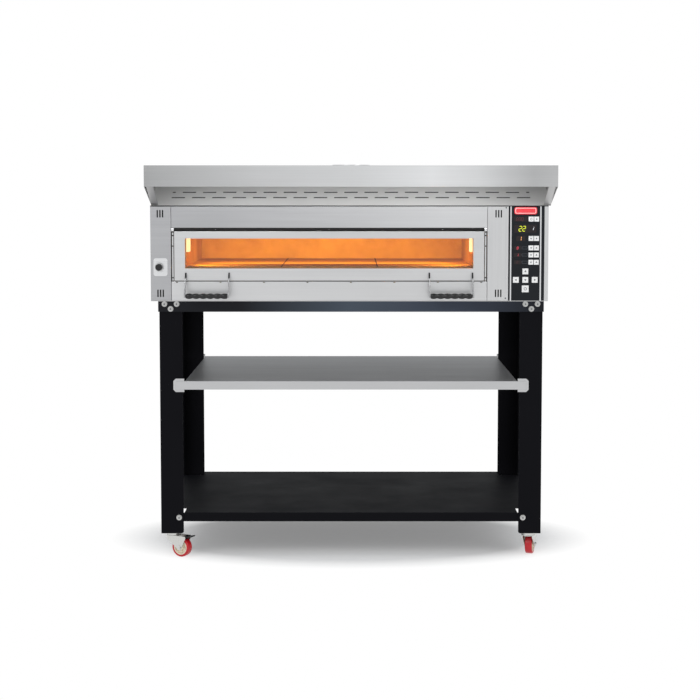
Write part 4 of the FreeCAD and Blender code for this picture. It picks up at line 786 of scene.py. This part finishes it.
def draw_sign(shape, sign, x, z, size, y):
    """A triangle pointing one way, a ring or a dot, round a centre."""
    turns = {"up": 90, "down": 270, "left": 180, "right": 0}
    if sign in turns:
        angles = [math.radians(turns[sign] + step * 120) for step in range(3)]
        slab(shape, [(x + math.cos(angle) * size, z + math.sin(angle) * size) for angle in angles], y)
    elif sign == "ring":
        steps = 24
        outer = polygon(x, z, size, steps)
        inner = polygon(x, z, size * 0.68, steps)
        for step in range(steps):
            after = (step + 1) % steps
            slab(shape, [outer[step], outer[after], inner[after], inner[step]], y)
        bmesh.ops.remove_doubles(shape, verts=shape.verts, dist=1e-7)
    else:
        slab(shape, polygon(x, z, size * 0.6, 16), y)


def slab(shape, points, y, thick=0.0003):
    """A thin flat plate of any outline, facing the front."""
    front = [shape.verts.new((x, y, z)) for x, z in points]
    back = [shape.verts.new((x, y + thick, z)) for x, z in points]
    count = len(points)
    shape.faces.new(front)
    shape.faces.new(list(reversed(back)))
    for step in range(count):
        after = (step + 1) % count
        shape.faces.new((front[step], back[step], back[after], front[after]))


def rounded_outline(x, z, wide, tall, round_by, steps=5):
    """A rectangle with rounded corners, as points round its centre."""
    points = []
    for sx, sz, start in ((1, 1, 0), (-1, 1, 90), (-1, -1, 180), (1, -1, 270)):
        middle = (x + sx * (wide / 2 - round_by), z + sz * (tall / 2 - round_by))
        points += arc(middle, round_by, start, start + 90, steps)
    return points


def frame_slab(shape, x, z, wide, tall, line, y):
    """A thin rectangular outline, as four slabs."""
    left, right, low, high = x - wide / 2, x + wide / 2, z - tall / 2, z + tall / 2
    for x0, z0, x1, z1 in ((left, low, right, low + line), (left, high - line, right, high),
                           (left, low + line, left + line, high - line),
                           (right - line, low + line, right, high - line)):
        slab(shape, [(x0, z0), (x1, z0), (x1, z1), (x0, z1)], y, 0.0002)


# ---------------------------------------------------------------- small fittings on the front


def islands(node):
    """The boxes of a node's separate solids."""
    shape = bmesh.new()
    shape.from_mesh(NODES[node].data)
    bmesh.ops.remove_doubles(shape, verts=shape.verts, dist=1e-6)
    left = set(shape.verts)
    boxes = []
    while left:
        waiting = [left.pop()]
        found = []
        while waiting:
            vertex = waiting.pop()
            found.append(vertex.co.copy())
            for edge in vertex.link_edges:
                other = edge.other_vert(vertex)
                if other in left:
                    left.remove(other)
                    waiting.append(other)
        low = Vector(min(point[axis] for point in found) for axis in range(3))
        high = Vector(max(point[axis] for point in found) for axis in range(3))
        boxes.append((low, high))
    shape.free()
    return boxes


def make_bolt_socket_shade():
    """The stand's bolt sockets, drawn as flat dark hexagons: painted shade in place of their recesses."""
    socket_radius = 0.0036
    shape = bmesh.new()
    low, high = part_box("stand_bolts")
    middle = (low.y + high.y) / 2
    for near, far in islands("stand_bolts"):
        front = near.y < middle
        y = low.y - 0.0003 if front else high.y
        centre = (near + far) / 2
        slab(shape, polygon(centre.x, centre.z, socket_radius, 6), y)
    add_piece("bolt_socket_shade", from_bmesh("bolt_socket_shade", shape), "icon_dark", "root",
              smooth=False)


def make_vent_slot_shade():
    """Black blocks behind the ventilation slots in the two front pillars: painted shade that keeps the slots dark.
    """
    low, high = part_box("left_front_panel")
    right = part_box("vent_panel")[0]
    half_wide, half_tall, inset = 0.019, 0.02, 0.028
    shape = bmesh.new()
    for x in (low.x + 0.0395, right.x + 0.0445):
        for z in (low.z + inset, high.z - inset):
            rounded_block(shape, (x - half_wide, low.y + 0.0075, z - half_tall),
                          (x + half_wide, low.y + 0.0085, z + half_tall), 0)
    add_piece("vent_slot_shade", from_bmesh("vent_slot_shade", shape), "hole_black", "root",
              smooth=False)


def make_hood_gap_shade():
    """A dark strip between the fronts and the hood: painted shade for the gap under the hood's edge."""
    low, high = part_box("upper_front_panel")
    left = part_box("left_front_panel")[0].x
    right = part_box("side_panels")[1].x
    shape = bmesh.new()
    rounded_block(shape, (left, low.y - 0.0016, high.z - 0.0002),
                  (right, low.y + 0.001, high.z + 0.0028), 0.0006)
    add_piece("hood_gap_shade", from_bmesh("hood_gap_shade", shape), "hole_black", "root")


def make_baffle_slot_shade():
    """A black sheet under the baffle, seen through its two rows of slots: painted shade that keeps the slots dark.
    """
    low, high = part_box("hood_baffle")
    lean = math.atan2(high.z - low.z, high.y - low.y)
    run = Vector((0, math.cos(lean), math.sin(lean)))
    under = Vector((0, math.sin(lean), -math.cos(lean)))
    start = Vector((0, low.y, low.z))
    slot_rows, half_row, inset = (0.063, 0.106), 0.011, 0.05
    shape = bmesh.new()
    for row in slot_rows:
        corners = []
        for x in (low.x + inset, high.x - inset):
            for along in (row - half_row, row + half_row):
                for deep in (0.0035, 0.0045):
                    corners.append(shape.verts.new(start + run * along + under * deep + Vector((x, 0, 0))))
        for face in ((0, 1, 3, 2), (4, 6, 7, 5), (0, 4, 5, 1), (2, 3, 7, 6), (0, 2, 6, 4), (1, 5, 7, 3)):
            shape.faces.new([corners[index] for index in face])
    add_piece("baffle_slot_shade", from_bmesh("baffle_slot_shade", shape), "hole_black", "root",
              smooth=False)


def make_damper_plate():
    """The damper's escutcheon: a light plate with rounded corners and a ring round the knob."""
    knob_low, knob_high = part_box("damper_knob")
    x, z = (knob_low.x + knob_high.x) / 2, (knob_low.z + knob_high.z) / 2
    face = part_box("left_front_panel")[0].y
    shape = bmesh.new()
    slab(shape, rounded_outline(x + 0.0045, z, 0.053, 0.067, 0.009), face - 0.0004, 0.0004)
    add_piece("damper_escutcheon", from_bmesh("damper_escutcheon", shape), "plate_steel", "root",
              smooth=False)
    shape = bmesh.new()
    turn_profile(shape, [(0.0148, 0), (0.0152, 0.0006), (0.0166, 0.0006), (0.017, 0), (0.0148, 0)],
                 (x, face - 0.0004, z), (0, -1, 0), 40)
    bmesh.ops.remove_doubles(shape, verts=shape.verts, dist=1e-7)
    add_piece("damper_ring", from_bmesh("damper_ring", shape), "stainless", "root")


def make_door_fittings():
    """Bright bushes round the hinge pins, a narrow strip in each side gap, and small screws."""
    bar_low, bar_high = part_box("door_frame")
    left_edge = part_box("left_front_panel")[1].x
    right_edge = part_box("vent_panel")[0].x
    hinge = Vector(JOINTS["door_hinge"]["pos_m"])
    shape = bmesh.new()
    for start, end in ((left_edge + 0.001, bar_low.x - 0.001), (bar_high.x + 0.001, right_edge - 0.001)):
        long = end - start
        ring = [(0.0044, 0), (0.0078, 0), (0.0084, 0.0006), (0.0084, long - 0.0006), (0.0078, long),
                (0.0044, long), (0.0044, 0)]
        turn_profile(shape, ring, (start, hinge.y, hinge.z), (1, 0, 0), 32)
    bmesh.ops.remove_doubles(shape, verts=shape.verts, dist=1e-7)
    add_piece("hinge_bushes", from_bmesh("hinge_bushes", shape), "trim_aluminium", "root")

    shape = bmesh.new()
    heads = bmesh.new()
    for start, end in ((left_edge + 0.0035, bar_low.x - 0.003), (bar_high.x + 0.003, right_edge - 0.0035)):
        rounded_block(shape, (start, bar_low.y + 0.006, bar_low.z),
                      (end, bar_low.y + 0.0075, hinge.z - 0.0115), 0)
        for z in (0.17, 0.13, 0.011):
            screw(heads, ((start + end) / 2, bar_low.y + 0.006, bar_low.z + z), (0, -1, 0), 0.0026)
    add_piece("gap_strips", from_bmesh("gap_strips", shape), "stainless_upright", "root",
              smooth=False)
    bmesh.ops.remove_doubles(heads, verts=heads.verts, dist=1e-7)
    add_piece("gap_screws", from_bmesh("gap_screws", heads), "hinge_black", "root")

    heads = bmesh.new()
    middle = (bar_low.x + bar_high.x) / 2
    # Small heads, just proud of the bar, so that they clear the panel above when the door opens.
    seat = hinge.y - 0.00605
    for x in (middle - 0.4275, middle, middle + 0.4275):
        screw(heads, (x, seat, hinge.z), (0, -1, 0), 0.0012, 0.00028)
    bmesh.ops.remove_doubles(heads, verts=heads.verts, dist=1e-7)
    add_piece("hinge_screws", from_bmesh("hinge_screws", heads), "bolt_zinc", "door")


# ---------------------------------------------------------------- screws


def screw(shape, place, axis, radius=0.0032, rise=0.0012):
    """A domed screw head with a hexagonal recess."""
    axis = Vector(axis).normalized()
    dome = [(radius, 0), (radius * 0.98, rise * 0.45), (radius * 0.8, rise * 0.85), (radius * 0.5, rise)]
    turn_profile(shape, dome, place, axis, 24)
    socket = [(radius * 0.5, rise), (radius * 0.46, rise * 0.3), (0, rise * 0.3)]
    turn_profile(shape, socket, place, axis, 24)


def make_screws():
    """Small screws on the front panels, the sides and the back."""
    damper_plate = 0.001
    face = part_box("left_front_panel")[0].y + damper_plate
    low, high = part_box("vent_panel")
    shape = bmesh.new()
    for x, z in ((high.x - 0.0095, high.z - 0.0055), (high.x - 0.0105, low.z + 0.0095)):
        screw(shape, (x, face, z), (0, -1, 0), 0.0028)
    bmesh.ops.remove_doubles(shape, verts=shape.verts, dist=1e-7)
    add_piece("front_screws", from_bmesh("front_screws", shape), "icon_dark", "root")
    shape = bmesh.new()
    left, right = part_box("side_panels")
    for x, axis in ((left.x, (-1, 0, 0)), (right.x, (1, 0, 0))):
        for step in range(4):
            for z in (left.z + 0.02, right.z - 0.02):
                y = left.y + 0.08 + (right.y - left.y - 0.12) * step / 3
                screw(shape, (x, y, z), axis)
    rear_low, rear_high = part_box("rear_cover")
    for step in range(5):
        for z in (rear_low.z + 0.015, rear_high.z - 0.015):
            x = rear_low.x + 0.03 + (rear_high.x - rear_low.x - 0.06) * step / 4
            screw(shape, (x, rear_high.y, z), (0, 1, 0))
    bmesh.ops.remove_doubles(shape, verts=shape.verts, dist=1e-7)
    add_piece("cover_screws", from_bmesh("cover_screws", shape), "bolt_zinc", "root")


# ---------------------------------------------------------------- build everything

make_camera()
make_studio()
chamber_glow()
finish_nodes()
make_grips()
make_wheels()
make_panel_details()
key_icons()
make_screws()
make_bolt_socket_shade()
make_vent_slot_shade()
make_damper_plate()
make_door_fittings()
make_hood_gap_shade()
make_baffle_slot_shade()
